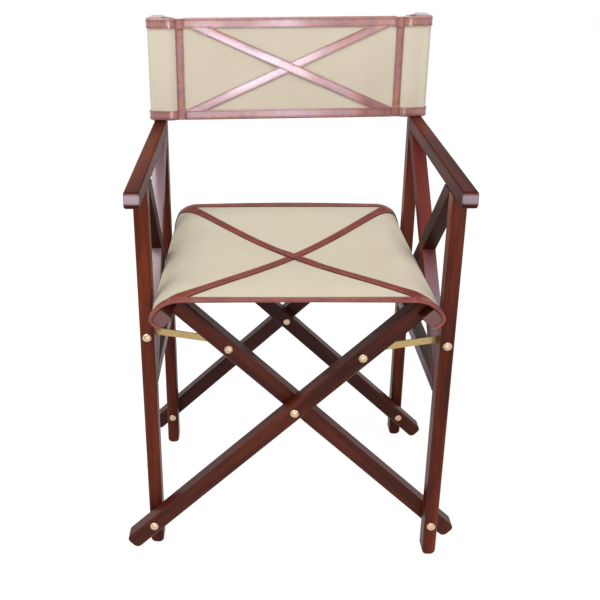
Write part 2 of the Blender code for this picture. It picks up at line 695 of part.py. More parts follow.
def sleeve_outline(side, grow):
    """Plan of the canvas round a post, outer face; grow moves it out, or in when negative."""
    front = leg_plane(side, 1) - FIT - CANVAS - grow
    rear = leg_plane(side, 1) + LEG_DEPTH + FIT + CANVAS + grow
    outer = HALF_SPACING + HALF_LEG + SLEEVE_SLACK + CANVAS + grow
    radius = SLEEVE_CORNER + CANVAS + grow
    outline = arc((outer - radius, front + radius), radius, -90, 0)
    outline += arc((outer - radius, rear - radius), radius, 0, 90)
    return outline, front, rear


def upright(plan, side, low, high):
    """A closed solid with a flat plan, drawn upwards on the left or the right of the chair."""
    return swept([(side * x, y) for x, y in plan], [lambda u, v, z=z: (u, v, z) for z in (low, high)])


for side in (-1, 1):
    name = SIDE_NAMES[side]
    outer, front, rear = sleeve_outline(side, 0.0)
    inner, inner_front, inner_rear = sleeve_outline(side, -CANVAS)
    heel = HALF_SPACING - HALF_LEG - SLEEVE_SLACK
    joint = SLEEVE_EDGE + SEAM_STRAP + FIT
    outline = [(SLEEVE_EDGE, front)] + outer + [(heel, rear), (joint, inner_front)]
    outline += [(SLEEVE_EDGE, inner_front)]
    cavity = inner + [(heel, inner_rear), (joint + CANVAS, inner_front)]
    sleeve_bm = upright(outline, side, BACK_BOTTOM, BACK_TOP)
    sleeve = add_piece(f"back_{name}_sleeve", sleeve_bm, CLOTH, FRAMES[side])
    hollow = upright(cavity, side, BACK_BOTTOM - CANVAS, BACK_TOP + CANVAS)
    combine(sleeve, add_helper(f"back_{name}_sleeve_hollow", hollow, FRAMES[side]), "DIFFERENCE")
    seam = [(SLEEVE_EDGE, front - FIT), (SLEEVE_EDGE + SEAM_STRAP, front - FIT)]
    seam += [(SLEEVE_EDGE + SEAM_STRAP, front - FIT - LEATHER), (SLEEVE_EDGE, front - FIT - LEATHER)]
    add_piece(f"back_{name}_seam_strap", upright(seam, side, BACK_BOTTOM, BACK_TOP), HIDE, FRAMES[side])

    skin, skin_front, skin_rear = sleeve_outline(side, FIT)
    face, face_front, face_rear = sleeve_outline(side, FIT + LEATHER)
    plan = [(joint, face_front)] + face + [(heel, face_rear), (heel, skin_rear)]
    plan += skin[::-1] + [(joint, skin_front)]
    edges = {"top": (BACK_TOP - BACK_BINDING, BACK_TOP), "bottom": (BACK_BOTTOM, BACK_BOTTOM + BACK_BINDING)}
    for label, (low, high) in edges.items():
        add_piece(f"back_{name}_{label}_band", upright(plan, side, low, high), HIDE, FRAMES[side])


def on_back(x, z, height):
    """A point in front of the back canvas, which runs slightly askew from post to post."""
    share = (x + HALF_SPACING) / LEG_SPACING
    y = BACK_FRONT[-1] + share * (BACK_FRONT[1] - BACK_FRONT[-1])
    return x, y - height, z


def back_stations():
    """Stations across the back; a section there is drawn in height and in front of the canvas."""
    stations = []
    for x in (-PANEL_EDGE, PANEL_EDGE):
        stations.append(lambda u, v, x=x: on_back(x, u, v))
    return stations


section = [(BACK_BOTTOM, 0), (BACK_TOP, 0), (BACK_TOP, -CANVAS), (BACK_BOTTOM, -CANVAS)]
add_piece("back_canvas", swept(section, back_stations()), CLOTH, back_cloth)
for label, edge, inward in (("top", BACK_TOP, -1), ("bottom", BACK_BOTTOM, 1)):
    section = edge_binding(edge, inward, BACK_BINDING)
    add_piece(f"back_{label}_binding", swept(section, back_stations()), HIDE, back_cloth)

BACK_MIDDLE = (BACK_TOP + BACK_BOTTOM) / 2
back_run = (BACK_TOP - BACK_BOTTOM) / 2 - BACK_BINDING - FIT
back_across = slant_width(BACK_STRAP, PANEL_EDGE, back_run)
low_corner = PANEL_EDGE - back_across
high_corner = low_corner - BACK_STRAP_TOP_INSET


def on_back_middle(x, rise, height):
    """A point in front of the back canvas, counted from its middle height."""
    return on_back(x, BACK_MIDDLE + rise, height)


for label, side, lift in (("under", 1, 0.0), ("over", -1, STRAP_LIFT)):
    ends = (-side * low_corner, side * high_corner)
    solid = crossing_strap(back_run, *ends, back_across, lift, on_back_middle)
    add_piece(f"back_strap_{label}", solid, HIDE, back_cloth)
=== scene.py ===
"""Folding director's chair in mahogany, canvas and leather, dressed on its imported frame."""
import json
import math

import bpy
import numpy as np
from mathutils import Matrix, Vector


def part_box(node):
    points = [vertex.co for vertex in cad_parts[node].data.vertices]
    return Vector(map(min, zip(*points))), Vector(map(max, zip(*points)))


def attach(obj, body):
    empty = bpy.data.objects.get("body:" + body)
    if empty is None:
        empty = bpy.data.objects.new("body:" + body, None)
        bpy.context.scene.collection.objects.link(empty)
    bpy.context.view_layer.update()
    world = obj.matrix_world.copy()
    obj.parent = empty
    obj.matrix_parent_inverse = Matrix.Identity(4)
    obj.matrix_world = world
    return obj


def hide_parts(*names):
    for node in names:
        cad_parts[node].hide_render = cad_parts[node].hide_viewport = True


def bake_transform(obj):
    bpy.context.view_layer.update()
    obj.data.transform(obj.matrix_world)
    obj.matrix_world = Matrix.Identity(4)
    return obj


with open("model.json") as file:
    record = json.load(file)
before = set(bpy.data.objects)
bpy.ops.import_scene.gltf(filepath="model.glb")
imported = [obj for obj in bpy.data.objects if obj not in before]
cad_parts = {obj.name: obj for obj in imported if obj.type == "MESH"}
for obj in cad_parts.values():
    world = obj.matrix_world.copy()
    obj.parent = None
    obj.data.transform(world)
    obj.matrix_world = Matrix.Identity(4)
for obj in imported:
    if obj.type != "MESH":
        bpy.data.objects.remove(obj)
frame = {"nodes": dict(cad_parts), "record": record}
stage = bpy.context.scene
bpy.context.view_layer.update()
record = frame["record"]
carrier = {node: body for body, nodes in record["behaviour"]["bodies"].items() for node in nodes}

# Front legs and rear posts. Each is one straight stick of mahogany with eased edges and a
# rounded foot, stained red-brown and varnished; the grain runs along the stick. Above the back
# band the post tops are painted pale grey, a painted reflection.
BLACK, WHITE = (0, 0, 0, 1), (1, 1, 1, 1)
STAIN_DARK = (0.050, 0.0092, 0.0046, 1)
STAIN_MID = (0.140, 0.0235, 0.0090, 1)
STAIN_LIGHT = (0.225, 0.0470, 0.0165, 1)
# The deepest tone, mixed in as darker stain and as painted shade.
DEEP_STAIN_AND_SHADE = (0.014, 0.0045, 0.0040, 1)
# Pale grey for the post tops: a painted reflection.
TOP_SHEEN = (0.520, 0.4650, 0.4550, 1)
TOP_FROM = 0.8954


def node(tree, kind, inputs=None, **settings):
    """Add one shader node; a socket given as an input is linked, any other value is set."""
    made = tree.nodes.new(kind)
    for key, value in settings.items():
        setattr(made, key, value)
    for key, value in (inputs or {}).items():
        if isinstance(value, bpy.types.NodeSocket):
            tree.links.new(value, made.inputs[key])
        else:
            made.inputs[key].default_value = value
    return made


def ramp(tree, factor, stops):
    """A colour ramp from (place, colour) stops."""
    made = node(tree, "ShaderNodeValToRGB", {"Fac": factor})
    band = made.color_ramp
    while len(band.elements) < len(stops):
        band.elements.new(0.5)
    for element, (place, colour) in zip(band.elements, stops):
        element.position = place
        element.color = colour
    return made.outputs["Color"]


def math_node(tree, operation, first, second, clamp=False):
    """One sum on values or sockets."""
    made = node(tree, "ShaderNodeMath", {0: first, 1: second}, operation=operation, use_clamp=clamp)
    return made.outputs[0]


def times(tree, first, second, clamp=False):
    """A product of values or sockets."""
    return math_node(tree, "MULTIPLY", first, second, clamp)


def plus(tree, first, second, clamp=False):
    """A total of values or sockets."""
    return math_node(tree, "ADD", first, second, clamp)


def minus(tree, first, second):
    """A difference of values or sockets."""
    return math_node(tree, "SUBTRACT", first, second)


def spot(tree):
    """The place on the piece itself, in metres."""
    return node(tree, "ShaderNodeTexCoord").outputs["Object"]


def noise(tree, vector, scale, detail, distortion=0.0):
    """Cloudy noise on a vector."""
    values = {"Vector": vector, "Scale": scale, "Detail": detail, "Distortion": distortion}
    return node(tree, "ShaderNodeTexNoise", values).outputs["Fac"]


def mixed(tree, factor, first, second, blend_type="MIX"):
    """Mix two colours."""
    inputs = {0: factor, 6: first, 7: second}
    return node(tree, "ShaderNodeMix", inputs, data_type="RGBA", blend_type=blend_type).outputs[2]


SOCKETS = {"Vector": "Vector", **dict.fromkeys(("Color", "Base", "Warm", "Dark"), "Color")}


def new_group(name, inputs, outputs):
    """An empty shader node group with its named sockets, and its two end nodes."""
    tree = bpy.data.node_groups.new(name, "ShaderNodeTree")
    for way, labels in (("INPUT", inputs), ("OUTPUT", outputs)):
        for label in labels:
            kind = "NodeSocket" + SOCKETS.get(label, "Float")
            tree.interface.new_socket(label, in_out=way, socket_type=kind)
    return tree, tree.nodes.new("NodeGroupInput"), tree.nodes.new("NodeGroupOutput")


def close_group(tree, end, **results):
    """Link a group's results to its output sockets."""
    for label, socket in results.items():
        tree.links.new(socket, end.inputs[label])
    return tree


def mahogany_figure():
    """Colour, gloss and pores of stained mahogany; the grain lies along Z of its input vector."""
    tree, start, end = new_group("Mahogany figure", ("Vector",), ("Color", "Roughness", "Height"))

    def stretched(along, scale, detail, distortion=0.0):
        lengthened = node(tree, "ShaderNodeMapping", {"Vector": start.outputs[0], "Scale": (1, 1, along)})
        return noise(tree, lengthened.outputs[0], scale, detail, distortion)

    drift = stretched(0.35, 9, 2, 0.6)
    broad = stretched(0.10, 34, 3, 0.8)
    streak = stretched(0.03, 230, 3)
    fleck = stretched(0.06, 1300, 1)
    shade = plus(tree, times(tree, broad, 0.68), times(tree, streak, 0.32))
    stain = ramp(tree, shade, [(0.34, STAIN_DARK), (0.50, STAIN_MID), (0.68, STAIN_LIGHT)])
    warmth = ramp(tree, drift, [(0.38, (0.66, 0.64, 0.80, 1)), (0.62, (1, 0.95, 0.72, 1))])
    stain = mixed(tree, 1.0, stain, warmth, "MULTIPLY")
    pore = ramp(tree, fleck, [(0.30, WHITE), (0.40, BLACK)])
    colour = mixed(tree, times(tree, pore, 0.45), stain, STAIN_DARK)
    rough = plus(tree, 0.30, times(tree, streak, 0.22))
    height = minus(tree, times(tree, streak, 0.35), pore)
    return close_group(tree, end, Color=colour, Roughness=rough, Height=height)


FIGURE = mahogany_figure()


def new_material(name):
    """A node material, with its Principled shader and its tree."""
    material = bpy.data.materials.new(name)
    material.use_nodes = True
    return material, material.node_tree.nodes["Principled BSDF"], material.node_tree


def use_group(tree, group, vector):
    """Place a shared node group on a vector."""
    return node(tree, "ShaderNodeGroup", {"Vector": vector}, node_tree=group)


def bump(tree, height, strength, distance):
    """Turn a height into a normal."""
    values = {"Height": height, "Strength": strength, "Distance": distance}
    return node(tree, "ShaderNodeBump", values).outputs["Normal"]


def varnished(name, turn, depth, gloss, coat, sheen_end=None):
    """Varnished mahogany; turn is the rotation that brings the piece's grain onto Z.

    depth darkens the stain from 0 to 1 towards a deep tone, which on the bars and rising braces is
    painted shade; the last argument names an axis, a middle, a half length beyond which a pale end
    is painted (a painted reflection, on the rails over their end grain), and its colour.
    """
    material, shader, tree = new_material(name)
    place = spot(tree)
    grain = node(tree, "ShaderNodeMapping", {"Vector": place, "Rotation": turn})
    figure = use_group(tree, FIGURE, grain.outputs[0])
    # depth mixes in the deep tone: darker stain on some pieces, painted shade on the bars and rising braces.
    colour = mixed(tree, depth, figure.outputs["Color"], DEEP_STAIN_AND_SHADE)
    if sheen_end:
        axis, middle, half, tone = sheen_end
        along = node(tree, "ShaderNodeSeparateXYZ", {0: place}).outputs[axis]
        out = math_node(tree, "ABSOLUTE", minus(tree, along, middle), 0.0)
        past = times(tree, minus(tree, out, half), 1500, clamp=True)
        colour = mixed(tree, times(tree, past, 0.85), colour, tone)
    tree.links.new(colour, shader.inputs["Base Color"])
    tree.links.new(figure.outputs["Roughness"], shader.inputs["Roughness"])
    tree.links.new(bump(tree, figure.outputs["Height"], 0.25, 0.0003), shader.inputs["Normal"])
    shader.inputs["Specular IOR Level"].default_value = gloss
    shader.inputs["Coat Weight"].default_value = coat
    shader.inputs["Coat Roughness"].default_value = 0.16
    return material


def finish_solids(material, *names):
    """Give CAD solids their finish."""
    for name in names:
        mesh = frame["nodes"][name].data
        mesh.materials.clear()
        mesh.materials.append(material)


# The pale grey painted above TOP_FROM on the posts is a painted reflection.
upright_wood = varnished("mahogany_upright", (0, 0, 0), depth=0.12, gloss=0.08, coat=0.04,
                         sheen_end=("Z", 0.0, TOP_FROM, TOP_SHEEN))
finish_solids(upright_wood, "left_front_leg", "right_front_leg", "left_rear_post", "right_rear_post")

# Arms. Straight mahogany rails that slope down to a rounded nose, glued on the front legs and
# butted to the posts; each nose is painted pale lavender, a painted reflection, stronger on the
# left one, and has a gloss of its own.
NOSE_FROM, NOSE_FADE = -0.2385, 0.0030
NOSE_MIDDLE, NOSE_HALF, NOSE_EDGE = 0.6795, 0.0045, 0.0040
# Pale lavender painted on the noses: a painted reflection, weaker on the right.
NOSE_SHEEN = (0.400, 0.3000, 0.3450, 1)
NOSE_SHEEN_SHARE, RIGHT_FADE = 0.9, 0.3


def paint_sheen(tree, wear_and_sheen, tone, coat):
    """Mix a painted reflection tone into a wood's stain, and give it a gloss of its own."""
    shader = tree.nodes["Principled BSDF"]
    stain = shader.inputs["Base Color"].links[0].from_socket
    tree.links.new(mixed(tree, wear_and_sheen, stain, tone), shader.inputs["Base Color"])
    tree.links.new(coat, shader.inputs["Coat Weight"])


arm_wood = varnished("mahogany_arm", (math.pi / 2, 0, 0), depth=0.40, gloss=0.03, coat=0.0)
tree = arm_wood.node_tree
place = node(tree, "ShaderNodeSeparateXYZ", {0: spot(tree)})
forward = minus(tree, NOSE_FROM, place.outputs["Y"])
forward = math_node(tree, "DIVIDE", forward, NOSE_FADE, clamp=True)
off = math_node(tree, "ABSOLUTE", minus(tree, place.outputs["Z"], NOSE_MIDDLE), 0.0)
level = minus(tree, NOSE_HALF + NOSE_EDGE, off)
level = math_node(tree, "DIVIDE", level, NOSE_EDGE, clamp=True)
# Where the pale lavender of the painted reflection lies on each nose.
nose_sheen = times(tree, forward, level)
right_end = math_node(tree, "GREATER_THAN", place.outputs["X"], 0.0)
nose_sheen = times(tree, nose_sheen, minus(tree, 1.0, times(tree, right_end, RIGHT_FADE)))
paint_sheen(tree, times(tree, nose_sheen, NOSE_SHEEN_SHARE), NOSE_SHEEN, nose_sheen)
finish_solids(arm_wood, "left_arm", "right_arm")

# Side braces. Two mahogany boards on each side, halved where they cross between leg and post
# under the arm; the grain runs along each board. The rising boards are darkened far more than the
# falling ones, a painted shade, and the edge faces of the falling boards carry a pale painted
# reflection, palest and glossiest towards the foot.
BRACE_LEAN = math.atan2(0.290, 0.334)
# Per board: darkening and gloss; the rising boards' strong darkening is painted shade.
BRACES = (("left", "falling", 0.15, 0.10), ("left", "rising", 0.74, 0.02),
          ("right", "falling", 0.0, 0.015), ("right", "rising", 0.80, 0.03))
# Per side, the pale tone and coat of the falling boards' edge faces, and the paler tone towards the foot: a
# painted reflection.
EDGE_SHEEN = {"left": ((0.400, 0.2900, 0.3400, 1), 1.0), "right": ((0.220, 0.0400, 0.0360, 1), 0.3)}
FOOT_SHEEN = (0.400, 0.3100, 0.3800, 1)
FOOT_FROM, FOOT_FADE = 0.520, 0.080
EDGE_SHEEN_SHARE = 0.5
for side, key, depth, gloss in BRACES:
    lean = BRACE_LEAN if key == "falling" else -BRACE_LEAN
    brace_wood = varnished(f"mahogany_{side}_brace_{key}", (lean, 0, 0), depth, gloss, 0.0)
    finish_solids(brace_wood, f"{side}_brace_{key}")
    if key == "falling":
        tone, coat = EDGE_SHEEN[side]
        tree = brace_wood.node_tree
        facing = node(tree, "ShaderNodeSeparateXYZ", {0: node(tree, "ShaderNodeTexCoord").outputs["Normal"]})
        broad = math_node(tree, "ABSOLUTE", facing.outputs["X"], 0.0)
        edge = math_node(tree, "LESS_THAN", broad, 0.5)
        place = node(tree, "ShaderNodeSeparateXYZ", {0: spot(tree)})
        low = minus(tree, FOOT_FROM, place.outputs["Z"])
        low = math_node(tree, "DIVIDE", low, FOOT_FADE, clamp=True)
        # The edge faces get the painted reflection tone, paler towards the foot.
        gloss_left = times(tree, edge, math_node(tree, "MAXIMUM", low, coat))
        paint_sheen(tree, times(tree, edge, EDGE_SHEEN_SHARE), mixed(tree, low, tone, FOOT_SHEEN), gloss_left)

# Side stretchers. A level mahogany board on each side, glued between leg and post under the feet
# of the braces; it is darkened more than the legs.
stretcher_wood = varnished("mahogany_stretcher", (math.pi / 2, 0, 0), depth=0.70, gloss=0.10, coat=0.10)
finish_solids(stretcher_wood, "left_side_stretcher", "right_side_stretcher")

# Crossed bars and seat rails. The bars are straight mahogany sticks, bolted together in pairs at
# the crossing and to the legs at their feet; each pair carries a rail screwed under its tongues.
BAR_LEAN = math.atan2(0.243, 0.2295)
# The bars are darkened, the rear pair most: a painted shade of the seat above them.
for end, depth in (("front", 0.46), ("rear", 0.66)):
    for layer, lean in (("outer", -BAR_LEAN), ("inner", BAR_LEAN)):
        bar = f"{end}_{layer}_bar"
        finish_solids(varnished(f"mahogany_{bar}", (0, lean, 0), depth, gloss=0.08, coat=0.10), bar)
# The rail ends are painted pinkish grey: their end grain together with a painted reflection.
END_GRAIN_SHEEN = (0.185, 0.1000, 0.0920, 1)
RAIL_MIDDLE, RAIL_HALF = 0.01645, 0.2236
rail_wood = varnished("mahogany_rail", (math.pi / 2, 0, 0), depth=0.45, gloss=0.08, coat=0.05,
                      sheen_end=("Y", RAIL_MIDDLE, RAIL_HALF, END_GRAIN_SHEEN))
finish_solids(rail_wood, "left_seat_rail", "right_seat_rail")

# Pivot bolts. Turned brass with a domed head outside and a low slotted head inside, through both
# layers of wood at the crossings, where a collar keeps the bars apart, and at the feet, where a
# loose washer does.
DOME_RADIUS, DOME_RISE = 0.0078, 0.0045
LOW_RADIUS, LOW_RISE = 0.0070, 0.0026
SHANK_RADIUS = 0.0030
BOLT_GRIP = 0.0596
COLLAR_RADIUS, COLLAR_WIDTH = 0.0085, 0.0024
SLOT_WIDTH, SLOT_DEPTH, SLOT_TURN = 0.0013, 0.0011, 35
BRASS_CREASE = 40
BRASS = (0.62, 0.455, 0.300, 1)
TARNISH = (0.30, 0.185, 0.120, 1)


def brass_wear():
    """Handling marks on brass: dulled patches and fine scratches."""
    tree, start, end = new_group("Brass wear", ("Vector",), ("Dull", "Roughness", "Height"))
    lines = node(tree, "ShaderNodeMapping", {"Vector": start.outputs[0], "Scale": (1, 1, 0.08)})
    scratch = noise(tree, lines.outputs[0], 2400, 2)
    dull = ramp(tree, noise(tree, start.outputs[0], 260, 4), [(0.46, BLACK), (0.70, WHITE)])
    rough = plus(tree, 0.28, times(tree, dull, 0.22))
    return close_group(tree, end, Dull=dull, Roughness=rough, Height=scratch)


WEAR = brass_wear()


def polished(name, colour, tarnish):
    """Brass that dulls in patches."""
    material, shader, tree = new_material(name)
    wear = use_group(tree, WEAR, spot(tree))
    wear_and_sheen = times(tree, wear.outputs["Dull"], 0.6)
    tree.links.new(mixed(tree, wear_and_sheen, colour, tarnish), shader.inputs["Base Color"])
    tree.links.new(wear.outputs["Roughness"], shader.inputs["Roughness"])
    tree.links.new(bump(tree, wear.outputs["Height"], 0.12, 0.0001), shader.inputs["Normal"])
    shader.inputs["Metallic"].default_value = 1.0
    return material


def deselect():
    """Start a new piece with nothing selected."""
    bpy.ops.object.select_all(action="DESELECT")


def domed_head(radius, rise):
    """A squashed half ball facing -Y, its flat side at y = 0."""
    deselect()
    bpy.ops.mesh.primitive_uv_sphere_add(segments=32, ring_count=16, radius=radius)
    head = bpy.context.object
    bpy.ops.object.mode_set(mode="EDIT")
    bpy.ops.mesh.select_all(action="SELECT")
    bpy.ops.transform.rotate(value=math.pi / 2, orient_axis="X", center_override=(0, 0, 0))
    bpy.ops.mesh.bisect(plane_co=(0, 0, 0), plane_no=(0, 1, 0), use_fill=True, clear_outer=True)
    bpy.ops.mesh.select_all(action="SELECT")
    bpy.ops.transform.resize(value=(1, rise / radius, 1), center_override=(0, 0, 0))
    bpy.ops.object.mode_set(mode="OBJECT")
    return head


def pick_faces(piece, wanted):
    """Select the faces whose centre and normal pass a test, and leave the piece in edit mode."""
    bpy.ops.object.mode_set(mode="EDIT")
    bpy.ops.mesh.select_mode(type="FACE")
    bpy.ops.mesh.select_all(action="DESELECT")
    bpy.ops.object.mode_set(mode="OBJECT")
    for face in piece.data.polygons:
        face.select = wanted(face.center, face.normal)
    bpy.ops.object.mode_set(mode="EDIT")


def with_shank(head, radius, length):
    """Draw a shank out of the flat side of a head."""
    pick_faces(head, lambda centre, normal: normal.y > 0.9)
    bpy.ops.mesh.inset(thickness=radius - SHANK_RADIUS)
    bpy.ops.mesh.extrude_region_move(TRANSFORM_OT_translate={"value": (0, length, 0)})
    bpy.ops.object.mode_set(mode="OBJECT")


def turned_about(piece, distance):
    """Face a head the other way, along +Y, at a distance."""
    piece.data.transform(Matrix.Translation((0, distance, 0)) @ Matrix.Rotation(math.pi, 4, "Z"))


def joined(first, *others):
    """Join pieces into the first."""
    deselect()
    for piece in (first, *others):
        piece.select_set(True)
    bpy.context.view_layer.objects.active = first
    bpy.ops.object.join()
    return first


def activate(piece):
    """Select one piece alone."""
    deselect()
    piece.select_set(True)
    bpy.context.view_layer.objects.active = piece


def smoothed(piece, angle):
    """Shade a piece smooth apart from its sharp edges."""
    activate(piece)
    bpy.ops.object.shade_smooth_by_angle(angle=math.radians(angle))


def apply_modifier(piece, kind, **settings):
    """Add a modifier and apply it."""
    activate(piece)
    modifier = piece.modifiers.new(kind.title(), kind)
    for key, value in settings.items():
        setattr(modifier, key, value)
    bpy.ops.object.modifier_apply(modifier=modifier.name)


def slotted(head, rise):
    """Saw a screwdriver slot across a low head."""
    deselect()
    bpy.ops.mesh.primitive_cube_add(size=1)
    saw = bpy.context.object
    saw.data.transform(Matrix.Diagonal((SLOT_WIDTH, 2 * SLOT_DEPTH, 0.03, 1)))
    saw.data.transform(Matrix.Rotation(math.radians(SLOT_TURN), 4, "Y"))
    saw.data.transform(Matrix.Translation((0, -rise, 0)))
    apply_modifier(head, "BOOLEAN", operation="DIFFERENCE", object=saw)
    bpy.data.objects.remove(saw)


def seat_copies(model, nodes, rise, material):
    """Copy a fastening to each of its nodes, its dome outwards, and let it ride there."""
    for name in nodes:
        low, high = (Vector(corner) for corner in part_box(name))
        centre = (low + high) / 2
        rear = "rear" in name
        centre.y = high.y - rise if rear else low.y + rise
        piece = model.copy()
        piece.data = model.data.copy()
        piece.name = f"{name}_brass"
        turn = Matrix.Rotation(math.pi if rear else 0.0, 4, "Z")
        piece.data.transform(Matrix.Translation(centre) @ turn)
        piece.data.materials.append(material)
        stage.collection.objects.link(piece)
        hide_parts(name)
        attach(piece, carrier[name])
    bpy.data.objects.remove(model)


head_brass = polished("brass_heads", BRASS, TARNISH)


def pivot_bolt(collared):
    """A bolt with its two heads, and a collar half way along the shank if it has one."""
    bolt = domed_head(DOME_RADIUS, DOME_RISE)
    with_shank(bolt, DOME_RADIUS, BOLT_GRIP)
    if collared:
        deselect()
        bpy.ops.mesh.primitive_cylinder_add(vertices=32, radius=COLLAR_RADIUS, depth=COLLAR_WIDTH)
        collar = bpy.context.object
        turn = Matrix.Rotation(math.pi / 2, 4, "X")
        collar.data.transform(Matrix.Translation((0, BOLT_GRIP / 2, 0)) @ turn)
        apply_modifier(bolt, "BOOLEAN", operation="UNION", object=collar)
        bpy.data.objects.remove(collar)
    low_head = domed_head(LOW_RADIUS, LOW_RISE)
    slotted(low_head, LOW_RISE)
    turned_about(low_head, BOLT_GRIP)
    joined(bolt, low_head)
    smoothed(bolt, BRASS_CREASE)
    return bolt


corners = [f"{side}_{end}" for side in ("left", "right") for end in ("front", "rear")]
cross_bolts = [f"{end}_cross_bolt" for end in ("front", "rear")]
foot_bolts = [f"{corner}_foot_bolt" for corner in corners]
seat_copies(pivot_bolt(True), cross_bolts, DOME_RISE, head_brass)
seat_copies(pivot_bolt(False), foot_bolts, DOME_RISE, head_brass)
washers = [name for name in frame["nodes"] if name.endswith("_washer")]
finish_solids(head_brass, *washers)

# Stay rivets and stays. Domed brass rivets hold each flat brass stay, cut from strip, on the
# inside of a leg and of the bar beside it; the leg rivets end in a small peened head.
LEG_GRIP, PEEN_RADIUS, PEEN_RISE = 0.0313, 0.0045, 0.0016
BAR_GRIP = 0.0283
STAY_BRASS = (0.43, 0.31, 0.135, 1)
STAY_TARNISH = (0.25, 0.165, 0.065, 1)
leg_rivet = domed_head(DOME_RADIUS, DOME_RISE)
with_shank(leg_rivet, DOME_RADIUS, LEG_GRIP)
peen = domed_head(PEEN_RADIUS, PEEN_RISE)
turned_about(peen, LEG_GRIP)
joined(leg_rivet, peen)
smoothed(leg_rivet, BRASS_CREASE)
seat_copies(leg_rivet, [f"{corner}_leg_rivet" for corner in corners], DOME_RISE, head_brass)
bar_rivet = domed_head(DOME_RADIUS, DOME_RISE)
with_shank(bar_rivet, DOME_RADIUS, BAR_GRIP)
smoothed(bar_rivet, BRASS_CREASE)
seat_copies(bar_rivet, [f"{corner}_bar_rivet" for corner in corners], DOME_RISE, head_brass)
finish_solids(polished("brass_stays", STAY_BRASS, STAY_TARNISH), *[f"{corner}_stay" for corner in corners])

# Seat canvas. One piece of heavy cotton canvas, stretched between the rails, rolled over the bar
# tongues and tucked round the rails; the middle has sunk and the rear edge stands up.
CANVAS = 0.0018
SEAT_MIDDLE, SEAT_HALF = RAIL_MIDDLE, 0.225
SEAT_SAG, FRONT_LIFT, REAR_LIFT, REAR_ARCH = 0.013, 0.001, 0.012, 0.0025
SAG_HALF, SAG_POWER = 0.195, 1.35
ROLL, ROLL_TURN = (0.18251, 0.45411), 0.0509
RAIL_SIDE, RAIL_UNDER, RAIL_TURN = (0.21820, 0.47370), (0.21238, 0.46821), 0.0102
NOSE_HEIGHT = 0.49205
TUCK = math.radians(40)
CLOTH = (0.655, 0.585, 0.450, 1)
CLOTH_SHADE = (0.560, 0.490, 0.365, 1)
WEAVE = 0.0011


def seat_line():
    """Half of the canvas's line across the seat, from the middle over the rail, as x, z points."""
    rounds = [(ROLL, ROLL_TURN), (RAIL_SIDE, RAIL_TURN), (RAIL_UNDER, RAIL_TURN)]
    angle = math.pi / 2
    points = [(ROLL[0] * i / 40, ROLL[1] + ROLL_TURN) for i in range(40)]
    for i, (centre, radius) in enumerate(rounds):
        if i + 1 < len(rounds):
            following, next_radius = rounds[i + 1]
            gap = Vector(following) - Vector(centre)
            leave = math.atan2(gap.y, gap.x) + math.acos(min(1.0, (radius - next_radius) / gap.length))
        else:
            leave = angle - TUCK
        for k in range(25):
            turn = angle + (leave - angle) * k / 24
            points.append((centre[0] + radius * math.cos(turn), centre[1] + radius * math.sin(turn)))
        angle = leave
    return np.array(points)


def run_along(line):
    """The length along a line of points, at each point."""
    return np.concatenate([[0.0], np.cumsum(np.linalg.norm(np.diff(line, axis=0), axis=1))])


def on_line(line, runs, run, step, settled):
    """A point on a line of points, and the line's direction there, measured over a step each way."""
    ahead = min(run + step, float(runs[-1]))
    behind = ahead - 2 * step if run > settled else 0.0
    here, far, near = ([float(np.interp(at, runs, line[:, i])) for i in (0, 1)] for at in (run, ahead, behind))
    along, across = far[0] - near[0], far[1] - near[1]
    length = math.hypot(along, across)
    return *here, along / length, across / length


SEAT_LINE = seat_line()
SEAT_RUN = run_along(SEAT_LINE)
SEAT_REACH = float(SEAT_RUN[-1])


def on_seat(run, y, lift):
    """A point on the seat: run along the canvas from its middle, y from the seat's middle."""
    far = min(abs(run), SEAT_REACH)
    x, z, dx, dz = on_line(SEAT_LINE, SEAT_RUN, far, step=0.0008, settled=0.0016)
    across = max(0.0, 1 - (x / SAG_HALF) ** 2) ** SAG_POWER
    depth = y / SEAT_HALF
    arch = FRONT_LIFT if depth < 0 else REAR_ARCH
    drop = across * (arch * abs(depth) ** 3 - SEAT_SAG * (1 - depth ** 2))
    share = min(1.0, max(0.0, (z - RAIL_SIDE[1]) / (NOSE_HEIGHT - RAIL_SIDE[1])))
    rear = REAR_LIFT * max(0.0, depth) ** 3 * share * share * (3 - 2 * share)
    x -= lift * dz
    z += lift * dx + drop + rear
    return Vector((math.copysign(x, run), SEAT_MIDDLE + y, z))


def laid(name, columns, rows, place, width, length):
    """A flat grid with every point put in place; its UV map runs in metres from the middle."""
    deselect()
    bpy.ops.mesh.primitive_grid_add(x_subdivisions=columns, y_subdivisions=rows, size=2)
    piece = bpy.context.object
    piece.name = name
    for point in piece.data.uv_layers.active.data:
        point.uv = ((point.uv.x - 0.5) * width, (point.uv.y - 0.5) * length)
    for point in piece.data.vertices:
        point.co = place(point.co.x, point.co.y)
    return piece


def thickened(piece, thickness, ease):
    """Give a laid sheet its thickness and round its rims."""
    apply_modifier(piece, "SOLIDIFY", thickness=thickness, offset=0.0, use_even_offset=True)
    if ease > 0:
        apply_modifier(piece, "BEVEL", width=ease, segments=2,
                       limit_method="ANGLE", angle_limit=math.radians(60))
    smoothed(piece, 50)


def made_up(piece, thickness, ease, material, slot, *stands_for):
    """Give a laid sheet or strip its thickness and material, and hide the solids it stands for."""
    thickened(piece, thickness, ease)
    piece.data.materials.append(material)
    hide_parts(*stands_for)


